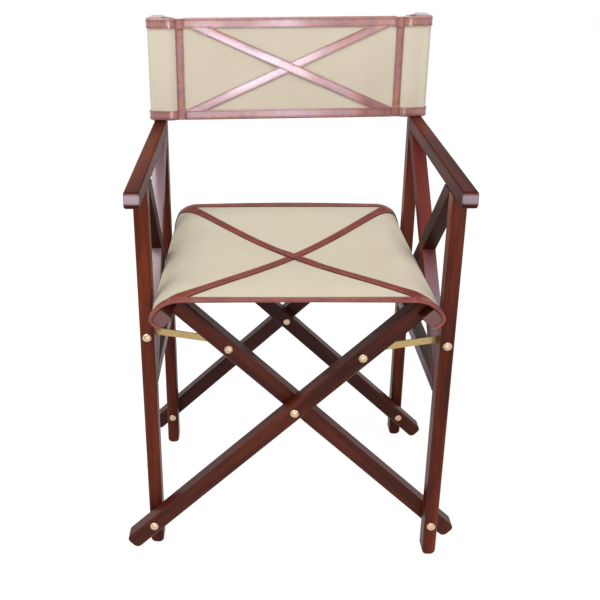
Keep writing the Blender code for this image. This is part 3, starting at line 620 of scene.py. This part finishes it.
def plain_weave():
    """Threads over and under, with slubs and a little unevenness; the vector is in metres."""
    tree, start, end = new_group("Plain weave", ("Vector",), ("Shade", "Height"))
    vector = start.outputs[0]
    rate = 2 * math.pi / (20 * WEAVE)
    bands = {"Vector": vector, "Scale": rate, "Distortion": 0.0}
    warp = node(tree, "ShaderNodeTexWave", bands, bands_direction="X").outputs["Fac"]
    weft = node(tree, "ShaderNodeTexWave", bands, bands_direction="Y").outputs["Fac"]
    over = node(tree, "ShaderNodeTexChecker", {"Vector": vector, "Scale": 1 / WEAVE}).outputs["Fac"]
    under = minus(tree, 1.0, over)
    thread = plus(tree, times(tree, warp, over), times(tree, weft, under))
    slubs = []
    for scale in ((1, 0.05, 1), (0.05, 1, 1)):
        drawn = node(tree, "ShaderNodeMapping", {"Vector": vector, "Scale": scale})
        slubs.append(noise(tree, drawn.outputs[0], 420, 2))
    slub = plus(tree, *slubs)
    patch = ramp(tree, noise(tree, vector, 9, 4), [(0.45, BLACK), (0.75, WHITE)])
    marks = plus(tree, times(tree, slub, 0.35), times(tree, patch, 0.40))
    shade = plus(tree, marks, times(tree, thread, -0.25))
    return close_group(tree, end, Shade=shade, Height=plus(tree, thread, slub))


WEAVE_GROUP = plain_weave()


def woven(name):
    """Cotton canvas: the weave follows the piece's UV map."""
    material, shader, tree = new_material(name)
    weave = use_group(tree, WEAVE_GROUP, node(tree, "ShaderNodeUVMap", uv_map="UVMap").outputs[0])
    shade = plus(tree, weave.outputs["Shade"], 0.0, clamp=True)
    tree.links.new(mixed(tree, shade, CLOTH, CLOTH_SHADE), shader.inputs["Base Color"])
    tree.links.new(bump(tree, weave.outputs["Height"], 0.35, 0.0003), shader.inputs["Normal"])
    shader.inputs["Roughness"].default_value = 0.92
    shader.inputs["Sheen Weight"].default_value = 0.12
    return material


def follow_rails(piece):
    """Bake a seat piece's placing into its mesh."""
    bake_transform(piece)


seat_cloth = woven("canvas_seat")
seat_size = (2 * SEAT_REACH, 2 * SEAT_HALF)
seat = laid("seat_sheet", 260, 72, lambda u, v: on_seat(u * SEAT_REACH, v * SEAT_HALF, 0.0), *seat_size)
made_up(seat, CANVAS, 0.0, seat_cloth, "canvas", "seat_canvas", "seat_left_turnover", "seat_right_turnover")
follow_rails(seat)

# Seat bindings. Strips of red-brown waxed leather folded over the canvas's front and rear edges
# and sewn through; they run on round the rails with the canvas.
LEATHER, CLOTH_FIT, RIM_EASE = 0.0014, 0.0004, 0.0004
BINDING = 0.012
FOLD = CANVAS / 2 + CLOTH_FIT + LEATHER / 2
SEAT_TONES = ((0.205, 0.0410, 0.0280, 1), (0.300, 0.0720, 0.0400, 1), (0.095, 0.0200, 0.0170, 1))


def waxed_hide():
    """Mottled tone, grain and gloss of waxed leather."""
    inputs = ("Vector", "Base", "Warm", "Dark")
    tree, start, end = new_group("Waxed hide", inputs, ("Color", "Roughness", "Height"))
    vector = start.outputs["Vector"]
    tone = ramp(tree, noise(tree, vector, 26, 4), [(0.40, BLACK), (0.68, WHITE)])
    wear = ramp(tree, noise(tree, vector, 70, 5), [(0.35, WHITE), (0.55, BLACK)])
    pebble = node(tree, "ShaderNodeTexVoronoi", {"Vector": vector, "Scale": 900}).outputs["Distance"]
    colour = mixed(tree, times(tree, tone, 0.65), start.outputs["Base"], start.outputs["Warm"])
    colour = mixed(tree, times(tree, wear, 0.40), colour, start.outputs["Dark"])
    rough = plus(tree, 0.30, times(tree, noise(tree, vector, 40, 3), 0.22))
    height = plus(tree, times(tree, pebble, 0.25), noise(tree, vector, 55, 2))
    return close_group(tree, end, Color=colour, Roughness=rough, Height=height)


HIDE_GROUP = waxed_hide()


def leather(name, half_width, tones, burnish, gloss, coat, coat_roughness, wave):
    """Waxed leather strip, burnished along both edges; V of its UV map runs across it."""
    material, shader, tree = new_material(name)
    hide = use_group(tree, HIDE_GROUP, spot(tree))
    for label, tone in zip(("Base", "Warm", "Dark"), tones):
        hide.inputs[label].default_value = tone
    across = node(tree, "ShaderNodeSeparateXYZ", {0: node(tree, "ShaderNodeUVMap", uv_map="UVMap").outputs[0]})
    out = math_node(tree, "ABSOLUTE", across.outputs["Y"], 0.0)
    edge = ramp(tree, math_node(tree, "DIVIDE", out, half_width), [(0.84, BLACK), (0.97, WHITE)])
    darker = times(tree, edge, burnish)
    tree.links.new(mixed(tree, darker, hide.outputs["Color"], tones[2]), shader.inputs["Base Color"])
    tree.links.new(hide.outputs["Roughness"], shader.inputs["Roughness"])
    tree.links.new(bump(tree, hide.outputs["Height"], wave, 0.0012), shader.inputs["Normal"])
    shader.inputs["Specular IOR Level"].default_value = gloss
    shader.inputs["Coat Weight"].default_value = coat
    shader.inputs["Coat Roughness"].default_value = coat_roughness
    shader.inputs["Coat IOR"].default_value = 1.7
    return material


def folded(v, reach):
    """Section of a strip folded over an edge: distance in from the edge, and height over the canvas."""
    bend = FOLD * math.pi / 2
    along = abs(v) * (reach + bend)
    side = math.copysign(1.0, v)
    if along < bend:
        return -FOLD * math.cos(along / FOLD), side * FOLD * math.sin(along / FOLD)
    return along - bend, side * FOLD


fold_half = BINDING + FOLD * math.pi / 2
seat_hide = leather("leather_seat_binding", fold_half, SEAT_TONES,
                    burnish=0.75, gloss=0.25, coat=0.15, coat_roughness=0.20, wave=0.30)
for label, end in (("front", -1), ("rear", 1)):
    def bound(u, v, end=end):
        inward, lift = folded(v, BINDING)
        return on_seat(u * SEAT_REACH, end * (SEAT_HALF - inward), lift)

    strip = laid(f"seat_{label}_edge", 260, 20, bound, 2 * SEAT_REACH, 2 * fold_half)
    made_up(strip, LEATHER, RIM_EASE, seat_hide, "leather", f"seat_{label}_binding")
    follow_rails(strip)

# Seat straps. Two flat leather straps sewn on from corner to corner; one passes over the other
# in the middle, and their ends widen towards the corners and lie under the bindings.
SEAT_STRAP = 0.018
STRAP_DOME = 0.0001
STRAP_FLARE, FLARE_FROM = 0.011, 0.72
STRAP_SPREAD, STRAP_TUCK = 0.195, 0.002
SEAT_CLIMB = (0.016, 0.030)
LAYERS = {"under": (1, 0.0), "over": (-1, 1.0)}
STRAP_LIFT = CANVAS / 2 + CLOTH_FIT + LEATHER / 2
STRAP_ENDS = {1: (-0.182, 0.2040), -1: (0.1925, -0.1985)}
strap_meet = SEAT_HALF - BINDING
strap_run = strap_meet + STRAP_TUCK
strap_slope = STRAP_SPREAD / strap_meet
strap_half = SEAT_STRAP / 2 * math.hypot(1, strap_slope)
strap_gap = STRAP_ENDS[-1][0] - STRAP_ENDS[1][0]
strap_cross = strap_meet * (2 * strap_gap / (strap_gap + STRAP_ENDS[1][1] - STRAP_ENDS[-1][1]) - 1)


def hump(distance, half_flat, ramp_length):
    """How far over the other strap a strap has risen, from 0 to 1."""
    share = min(1.0, max(0.0, (half_flat + ramp_length - abs(distance)) / ramp_length))
    return share * share * (3 - 2 * share)


def seat_strap(side, raised):
    """Placing rule of a strap: v runs along it, u across it."""
    front, rear = STRAP_ENDS[side]

    def place(u, v):
        y = v * strap_run
        centre = (front + rear) / 2 + (rear - front) / 2 * y / strap_meet
        outward = math.copysign(1.0, centre)
        flare = STRAP_FLARE * (max(0.0, abs(v) - FLARE_FROM) / (1 - FLARE_FROM)) ** 2
        x = centre + u * strap_half + outward * flare * (1 + outward * u) / 2
        rise = raised * LEATHER * hump(y - strap_cross, *SEAT_CLIMB)
        return on_seat(x, y, STRAP_LIFT + rise + STRAP_DOME * (1 - u * u))
    return place


strap_hide = leather("leather_seat_strap", SEAT_STRAP / 2, SEAT_TONES,
                     burnish=0.75, gloss=0.05, coat=0.0, coat_roughness=0.20, wave=0.30)
strap_length = 2 * strap_run * math.hypot(1, strap_slope)


def across_v(piece):
    """Turn a strap's UV map so that V runs across it."""
    for point in piece.data.uv_layers.active.data:
        point.uv = (point.uv.y, point.uv.x)


for label, layer in LAYERS.items():
    strap = laid(f"seat_cross_{label}", 12, 150, seat_strap(*layer), SEAT_STRAP, strap_length)
    across_v(strap)
    made_up(strap, LEATHER, RIM_EASE, strap_hide, "leather", f"seat_strap_{label}")
    follow_rails(strap)

# Seat stitching. Waxed thread in a single row through each binding and a row along both edges of
# each strap.
STITCH, STITCH_GAP, THREAD = 0.0026, 0.0026, 0.0018
BINDING_ROW, BINDING_SEWN, STRAP_ROW = 0.55, 0.236, 0.72
SEAT_THREAD = (0.420, 0.200, 0.160, 1)


def thread_material(name, colour):
    """Waxed thread with a twist along its length."""
    material, shader, tree = new_material(name)
    place = spot(tree)
    twist = noise(tree, place, 1800, 2)
    dark = tuple(0.45 * c for c in colour[:3]) + (1,)
    tree.links.new(mixed(tree, twist, dark, colour), shader.inputs["Base Color"])
    tree.links.new(bump(tree, twist, 0.4, 0.0002), shader.inputs["Normal"])
    shader.inputs["Roughness"].default_value = 0.55
    return material


def stitch_model():
    """One stitch: a small ball drawn out along X and flattened."""
    deselect()
    bpy.ops.mesh.primitive_ico_sphere_add(subdivisions=1, radius=1)
    model = bpy.context.object
    model.data.transform(Matrix.Diagonal((STITCH / 2, THREAD / 2, THREAD / 2, 1)))
    points = np.array([v.co for v in model.data.vertices])
    faces = [list(face.vertices) for face in model.data.polygons]
    bpy.data.objects.remove(model)
    return points, faces


STITCH_POINTS, STITCH_FACES = stitch_model()


def sewn(name, rows, material):
    """Set stitches along rows; each row gives a surface point for a share from 0 to 1 and a lift."""
    points, faces = [], []
    for row in rows:
        samples = [row(i / 200, 0.0) for i in range(201)]
        lengths = [0.0]
        for first, second in zip(samples, samples[1:]):
            lengths.append(lengths[-1] + (second - first).length)
        count = int(lengths[-1] / (STITCH + STITCH_GAP))
        for i in range(count):
            share = float(np.interp((i + 0.5) / count * lengths[-1], lengths, np.linspace(0, 1, 201)))
            base = row(share, 0.0)
            normal = (row(share, 0.001) - base).normalized()
            along = (row(min(1.0, share + 0.002), 0.0) - row(max(0.0, share - 0.002), 0.0)).normalized()
            side = normal.cross(along)
            turn = np.array([along, side, normal])
            faces += [[corner + len(points) for corner in face] for face in STITCH_FACES]
            points += list(STITCH_POINTS @ turn + np.array(base))
    mesh = bpy.data.meshes.new(name)
    mesh.from_pydata([tuple(point) for point in points], [], faces)
    mesh.shade_smooth()
    mesh.materials.append(material)
    piece = bpy.data.objects.new(name, mesh)
    stage.collection.objects.link(piece)
    return piece


def seat_binding_row(end):
    """A row through the middle of a binding's upper side."""
    y = end * (SEAT_HALF - BINDING * BINDING_ROW)
    return lambda share, lift: on_seat((2 * share - 1) * BINDING_SEWN, y, FOLD + LEATHER / 2 + lift)


def strap_row(place, edge):
    """A row near one edge of a strap."""
    return lambda share, lift: place(edge, 2 * share - 1) + Vector((0, 0, LEATHER / 2 + lift))


seat_rows = [seat_binding_row(-1), seat_binding_row(1)]
for layer in LAYERS.values():
    for edge in (-STRAP_ROW, STRAP_ROW):
        seat_rows.append(strap_row(seat_strap(*layer), edge))
seat_thread = sewn("seat_stitching", seat_rows, thread_material("thread_seat", SEAT_THREAD))
follow_rails(seat_thread)

# Back canvas. A flat panel of the same canvas, stretched a little askew from the left post to the
# right one, because the right frame stands further back.
BACK_LOW, BACK_HIGH = 0.7135, 0.894
BACK_MIDDLE = (BACK_LOW + BACK_HIGH) / 2
PANEL_HALF, RIPPLE = 0.1952, 0.0006
POST_X = 0.243
LEFT_FACE, RIGHT_FACE = 0.15925, 0.19025
BACK_SKEW = (RIGHT_FACE - LEFT_FACE) / (2 * POST_X)


def on_back(x, z, lift):
    """A point on the back panel; lift is towards the sitter."""
    y = LEFT_FACE + (x + POST_X) * BACK_SKEW
    ripple = RIPPLE * math.sin(31 * x + 1.3) * math.sin(19 * (z - BACK_LOW) + 0.4)
    return Vector((x, y + ripple - lift, z))


def follow_posts(piece):
    """Bake a back piece's placing into its mesh."""
    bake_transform(piece)


back_cloth = woven("canvas_back")
panel_size = (2 * PANEL_HALF, BACK_HIGH - BACK_LOW)
panel_rise = panel_size[1] / 2
panel = laid("back_sheet", 90, 40, lambda u, v: on_back(u * PANEL_HALF, BACK_MIDDLE + v * panel_rise, 0.0),
             *panel_size)
made_up(panel, CANVAS, 0.0, back_cloth, "canvas", "back_canvas")
follow_posts(panel)

# Back sleeves. At each end the canvas goes round its post as a loose sleeve, swelling a little in
# front, and comes back to the seam beside the post.
SLEEVE_EDGE, SEAM = PANEL_HALF, 0.2098
POST_DEPTH = 0.028
SLEEVE_SWELL, SLEEVE_SLACK, SLEEVE_BOW = 0.0042, 0.0024, 0.0012
SLEEVE_OUT, SLEEVE_TURN, HEEL = 0.2599, 0.0085, 0.2265


def sleeve_line(side):
    """Plan of a sleeve from the panel's edge round the post and back to the seam, as x, y points."""
    def face(x):
        return LEFT_FACE + (side * x + POST_X) * BACK_SKEW

    front = LEFT_FACE if side < 0 else RIGHT_FACE
    rear = front + POST_DEPTH + SLEEVE_SLACK
    points = [(SLEEVE_EDGE + (SEAM - SLEEVE_EDGE) * i / 6, face(SLEEVE_EDGE + (SEAM - SLEEVE_EDGE) * i / 6))
              for i in range(6)]
    span = SLEEVE_OUT - SLEEVE_TURN - SEAM
    for i in range(21):
        share = i / 20
        swell = SLEEVE_SWELL * 6.75 * share * (1 - share) ** 2
        points.append((SEAM + span * share, face(SEAM) + (front - face(SEAM)) * share - swell))
    for centre_y, begin in ((front + SLEEVE_TURN, -90), (rear - SLEEVE_TURN, 0)):
        for i in range(1, 11):
            turn = math.radians(begin + 9 * i)
            points.append((SLEEVE_OUT - SLEEVE_TURN + SLEEVE_TURN * math.cos(turn),
                           centre_y + SLEEVE_TURN * math.sin(turn)))
    for i in range(1, 9):
        share = i / 8
        points.append((SLEEVE_OUT - SLEEVE_TURN + (HEEL - SLEEVE_OUT + SLEEVE_TURN) * share,
                       rear + SLEEVE_BOW * math.sin(math.pi * share)))
    for i in range(1, 9):
        share = i / 8
        points.append((HEEL + (SEAM - HEEL) * share, rear + (face(SEAM) + CANVAS - rear) * share))
    return np.array(points)


SLEEVE_LINES = {side: sleeve_line(side) for side in (-1, 1)}
SLEEVE_RUNS = {side: run_along(line) for side, line in SLEEVE_LINES.items()}


def on_sleeve(side, run, z, lift):
    """A point on a sleeve: run round it from the panel's edge, lift away from the post."""
    x, y, dx, dy = on_line(SLEEVE_LINES[side], SLEEVE_RUNS[side], run, step=0.0012, settled=0.0012)
    return Vector((side * (x + lift * dy), y - lift * dx, z))


FRAME_OF = {-1: "left_frame", 1: "right_frame"}
LABEL = {-1: "left", 1: "right"}
sleeves = {}
for side in (-1, 1):
    girth = float(SLEEVE_RUNS[side][-1])

    def round_post(u, v, side=side, girth=girth):
        return on_sleeve(side, (side * u + 1) / 2 * girth, BACK_MIDDLE + v * panel_rise, 0.0)

    sleeve = laid(f"back_{LABEL[side]}_sleeve_sheet", 150, 30, round_post, girth, panel_size[1])
    made_up(sleeve, CANVAS, 0.0, back_cloth, "canvas", f"back_{LABEL[side]}_sleeve")
    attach(sleeve, FRAME_OF[side])
    sleeves[side] = (sleeve, girth)

# Back bindings. Leather bands folded over the top and bottom edges of the panel, with like bands
# round the ends of the sleeves, sewn along both edges.
BAND = 0.0155
CUFF_START, CUFF_STOP = 0.0150, 0.012
band_half = BAND + FOLD * math.pi / 2
BACK_TONES = ((0.330, 0.1300, 0.1120, 1), (0.440, 0.1550, 0.0750, 1), (0.150, 0.0480, 0.0460, 1))
back_hide = leather("leather_back_band", band_half, BACK_TONES,
                    burnish=0.0, gloss=0.35, coat=0.8, coat_roughness=0.15, wave=0.45)
sleeve_parts = {-1: [], 1: []}
EDGES = (("top", BACK_HIGH, -1), ("bottom", BACK_LOW, 1))
for label, edge, inward in EDGES:
    def over_panel(u, v, edge=edge, inward=inward):
        distance, lift = folded(-inward * v, BAND)
        return on_back(u * PANEL_HALF, edge + inward * distance, lift)

    band = laid(f"back_{label}_edge", 90, 28, over_panel, 2 * PANEL_HALF, 2 * band_half)
    made_up(band, LEATHER, RIM_EASE, back_hide, "leather", f"back_{label}_binding")
    follow_posts(band)
    for side in (-1, 1):
        first = CUFF_START
        last = sleeves[side][1] - CUFF_STOP

        def over_sleeve(u, v, side=side, edge=edge, inward=inward, first=first, last=last):
            distance, lift = folded(-inward * v, BAND)
            run = first + (side * u + 1) / 2 * (last - first)
            return on_sleeve(side, run, edge + inward * distance, lift)

        cuff = laid(f"back_{LABEL[side]}_{label}_cuff", 130, 28, over_sleeve, last - first, 2 * band_half)
        made_up(cuff, LEATHER, RIM_EASE, back_hide, "leather", f"back_{LABEL[side]}_{label}_band")
        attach(cuff, FRAME_OF[side])
        sleeve_parts[side].append(cuff)

# Seam straps. Upright leather straps that cover the seam beside each post, sewn on over the
# bindings from the top edge to the bottom edge.
SEAM_STRAP = 0.0145
seam_hide = leather("leather_seam_strap", SEAM_STRAP / 2, BACK_TONES,
                    burnish=0.0, gloss=0.25, coat=0.25, coat_roughness=0.20, wave=0.30)
SEAM_LIFT = FOLD + LEATHER + 0.0002


def seam_place(side):
    """Placing rule of a seam strap: u across it, v up it; it steps up over the bindings."""
    def place(u, v):
        z = BACK_MIDDLE + v * (panel_rise + 0.0015)
        run = SEAM_STRAP / 2 + side * u * SEAM_STRAP / 2
        over = hump(abs(z - BACK_MIDDLE) - panel_rise, BAND, 0.004)
        lift = STRAP_LIFT + (SEAM_LIFT - STRAP_LIFT) * over + STRAP_DOME * (1 - u * u)
        return on_sleeve(side, run, z, lift)
    return place


for side in (-1, 1):
    strap = laid(f"back_{LABEL[side]}_seam", 10, 110, seam_place(side), SEAM_STRAP, panel_size[1])
    across_v(strap)
    made_up(strap, LEATHER, RIM_EASE, seam_hide, "leather", f"back_{LABEL[side]}_seam_strap")
    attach(strap, FRAME_OF[side])
    sleeve_parts[side].append(strap)

# Back straps. Two leather straps sewn across the panel from corner to corner; their upper ends
# stand in from the seam straps, and one passes over the other.
BACK_STRAP = 0.017
BACK_CLIMB = (0.030, 0.070)
LOW_END, HIGH_END = 0.1745, 0.1625
back_run = panel_rise - BAND + STRAP_TUCK
back_slope = (LOW_END + HIGH_END) / (2 * (panel_rise - BAND))
back_half = BACK_STRAP / 2 * math.hypot(1, back_slope)
back_shift = (LOW_END - HIGH_END) / 2
crossing = back_shift / back_slope


def back_strap(side, raised):
    """Placing rule of a back strap: v runs up it, u across it."""
    def place(u, v):
        rise = v * back_run
        x = side * (back_slope * rise - back_shift) + u * back_half
        along = (side * x * back_slope + rise - crossing) / math.hypot(1, back_slope)
        over = raised * LEATHER * hump(along, *BACK_CLIMB)
        return on_back(x, BACK_MIDDLE + rise, STRAP_LIFT + over + STRAP_DOME * (1 - u * u))
    return place


back_strap_hide = leather("leather_back_strap", BACK_STRAP / 2, BACK_TONES,
                          burnish=0.0, gloss=0.35, coat=1.0, coat_roughness=0.15, wave=0.45)
back_strap_length = 2 * back_run * math.hypot(1, back_slope)
for label, layer in LAYERS.items():
    strap = laid(f"back_cross_{label}", 12, 150, back_strap(*layer), BACK_STRAP, back_strap_length)
    across_v(strap)
    made_up(strap, LEATHER, RIM_EASE, back_strap_hide, "leather", f"back_strap_{label}")
    follow_posts(strap)

# Back stitching. Waxed thread, sewn through leather and canvas in a row along both edges of
# every band and strap; it is near black, so that its colour also paints the shade in the stitch holes.
BACK_THREAD_AND_SHADE = (0.020, 0.008, 0.010, 1)
BAND_ROW, SEAM_ROW = 0.0024, 0.68
ROW_START, ROW_STOP = 0.017, 0.013
back_thread = thread_material("thread_back", BACK_THREAD_AND_SHADE)


def front_row(place, edge):
    """A row along a strap on the panel, near one edge."""
    return lambda share, lift: place(edge, 2 * share - 1) - Vector((0, LEATHER / 2 + lift, 0))


def panel_row(z):
    """A row along a band on the panel."""
    face = FOLD + LEATHER / 2
    return lambda share, lift: on_back((2 * share - 1) * (PANEL_HALF - 0.001), z, face + lift)


def cuff_row(side, z, last):
    """A row round a band on a sleeve."""
    face = FOLD + LEATHER / 2
    return lambda share, lift: on_sleeve(side, ROW_START + share * (last - ROW_START), z, face + lift)


back_rows = []
for label, edge, inward in EDGES:
    for inset in (BAND_ROW, BAND - BAND_ROW):
        back_rows.append(panel_row(edge + inward * inset))
for layer in LAYERS.values():
    for edge in (-STRAP_ROW, STRAP_ROW):
        back_rows.append(front_row(back_strap(*layer), edge))
panel_thread = sewn("back_stitching", back_rows, back_thread)
follow_posts(panel_thread)
for side in (-1, 1):
    rows = [front_row(seam_place(side), edge) for edge in (-SEAM_ROW, SEAM_ROW)]
    for label, edge, inward in EDGES:
        for inset in (BAND_ROW, BAND - BAND_ROW):
            rows.append(cuff_row(side, edge + inward * inset, sleeves[side][1] - ROW_STOP))
    seam_thread = sewn(f"back_{LABEL[side]}_stitching", rows, back_thread)
    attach(seam_thread, FRAME_OF[side])
    sleeve, girth = sleeves[side]

# Floor. A wide pale sheet under the chair that shows white and keeps a faint shadow; it belongs to
# the stage and not to the chair.
def in_view(tree):
    """1 for rays that show the stage, straight, mirrored or let through; 0 for those that light."""
    rays = node(tree, "ShaderNodeLightPath")
    seen = math_node(tree, "MAXIMUM", rays.outputs["Is Camera Ray"], rays.outputs["Is Glossy Ray"])
    return math_node(tree, "MAXIMUM", seen, rays.outputs["Is Transmission Ray"])


deselect()
bpy.ops.mesh.primitive_plane_add(size=14)
floor = bpy.context.object
floor.name = "studio_floor"
floor_paint = bpy.data.materials.new("studio_floor")
floor_paint.use_nodes = True
tree = floor_paint.node_tree
tree.nodes.clear()
pale = node(tree, "ShaderNodeBsdfDiffuse", {"Color": (0.78, 0.78, 0.78, 1)})
faint = node(tree, "ShaderNodeBsdfDiffuse", {"Color": (0.22, 0.22, 0.22, 1)})
glow = node(tree, "ShaderNodeEmission", {"Color": WHITE, "Strength": 0.91})
shown = node(tree, "ShaderNodeAddShader", {0: faint.outputs[0], 1: glow.outputs[0]})
surface = node(tree, "ShaderNodeMixShader", {0: in_view(tree), 1: pale.outputs[0], 2: shown.outputs[0]})
node(tree, "ShaderNodeOutputMaterial", {"Surface": surface.outputs[0]})
floor.data.materials.append(floor_paint)

# Light. A large softbox above the front, fills at both sides, low ones that glance off the
# leather, and an even sky.
world = bpy.data.worlds.new("studio_sky")
stage.world = world
world.use_nodes = True
tree = world.node_tree
tree.nodes.clear()
even = node(tree, "ShaderNodeBackground", {"Color": WHITE, "Strength": 0.42})
white = node(tree, "ShaderNodeBackground", {"Color": WHITE, "Strength": 1.0})
sky = node(tree, "ShaderNodeMixShader", {0: in_view(tree), 1: even.outputs[0], 2: white.outputs[0]})
node(tree, "ShaderNodeOutputWorld", {"Surface": sky.outputs[0]})


def softbox(name, place, aim, width, height, power, colour=(1, 1, 1)):
    """A flat lamp turned towards a point."""
    lamp = bpy.data.lights.new(name, "AREA")
    lamp.shape = "RECTANGLE"
    lamp.size = width
    lamp.size_y = height
    lamp.energy = power
    lamp.color = colour
    holder = bpy.data.objects.new(name, lamp)
    holder.location = place
    holder.rotation_euler = (Vector(aim) - Vector(place)).to_track_quat("-Z", "Y").to_euler()
    stage.collection.objects.link(holder)


SEAT_AIM, BACK_AIM = (0, 0, 0.5), (0.05, 0.17, 0.8)
COOL = (0.85, 0.82, 1.0)
softbox("front_softbox", (-0.5, -1.1, 3.4), SEAT_AIM, 1.8, 1.8, 65)
softbox("right_softbox", (1.9, -1.4, 2.2), SEAT_AIM, 1.4, 1.4, 14)
softbox("left_softbox", (-2.0, -0.9, 2.0), SEAT_AIM, 1.4, 1.4, 12)
softbox("low_softbox", (0.32, -2.4, 0.38), BACK_AIM, 1.40, 0.55, 7.5, COOL)
softbox("glint_softbox", (0.26, -2.35, 0.47), BACK_AIM, 0.48, 0.36, 6.5, COOL)

# Camera. A long view from a little above, square to the front, framed as the chair stands; its
# small turns and shifts are fitted to points measured in the photograph.
LENS, SENSOR = 48.847, 36.0
EYE = (-0.0662, -1.35475, 1.0265)
YAW, PITCH, TILT = math.radians(-0.50), math.radians(20.51), math.radians(-0.26)
ahead = Vector((math.sin(YAW) * math.cos(PITCH), math.cos(YAW) * math.cos(PITCH), -math.sin(PITCH)))
level = Vector((math.cos(YAW), -math.sin(YAW), 0))
above = level.cross(ahead)
rightward = math.cos(TILT) * level + math.sin(TILT) * above
upward = math.cos(TILT) * above - math.sin(TILT) * level
view = bpy.data.cameras.new("front_view")
view.sensor_width = SENSOR
view.lens = LENS
view.shift_x = 0.0871
view.shift_y = -0.0914
eye = bpy.data.objects.new("front_view", view)
eye.matrix_world = Matrix.Translation(EYE) @ Matrix((rightward, upward, -ahead)).transposed().to_4x4()
stage.collection.objects.link(eye)
stage.camera = eye
stage.view_settings.view_transform = "Standard"
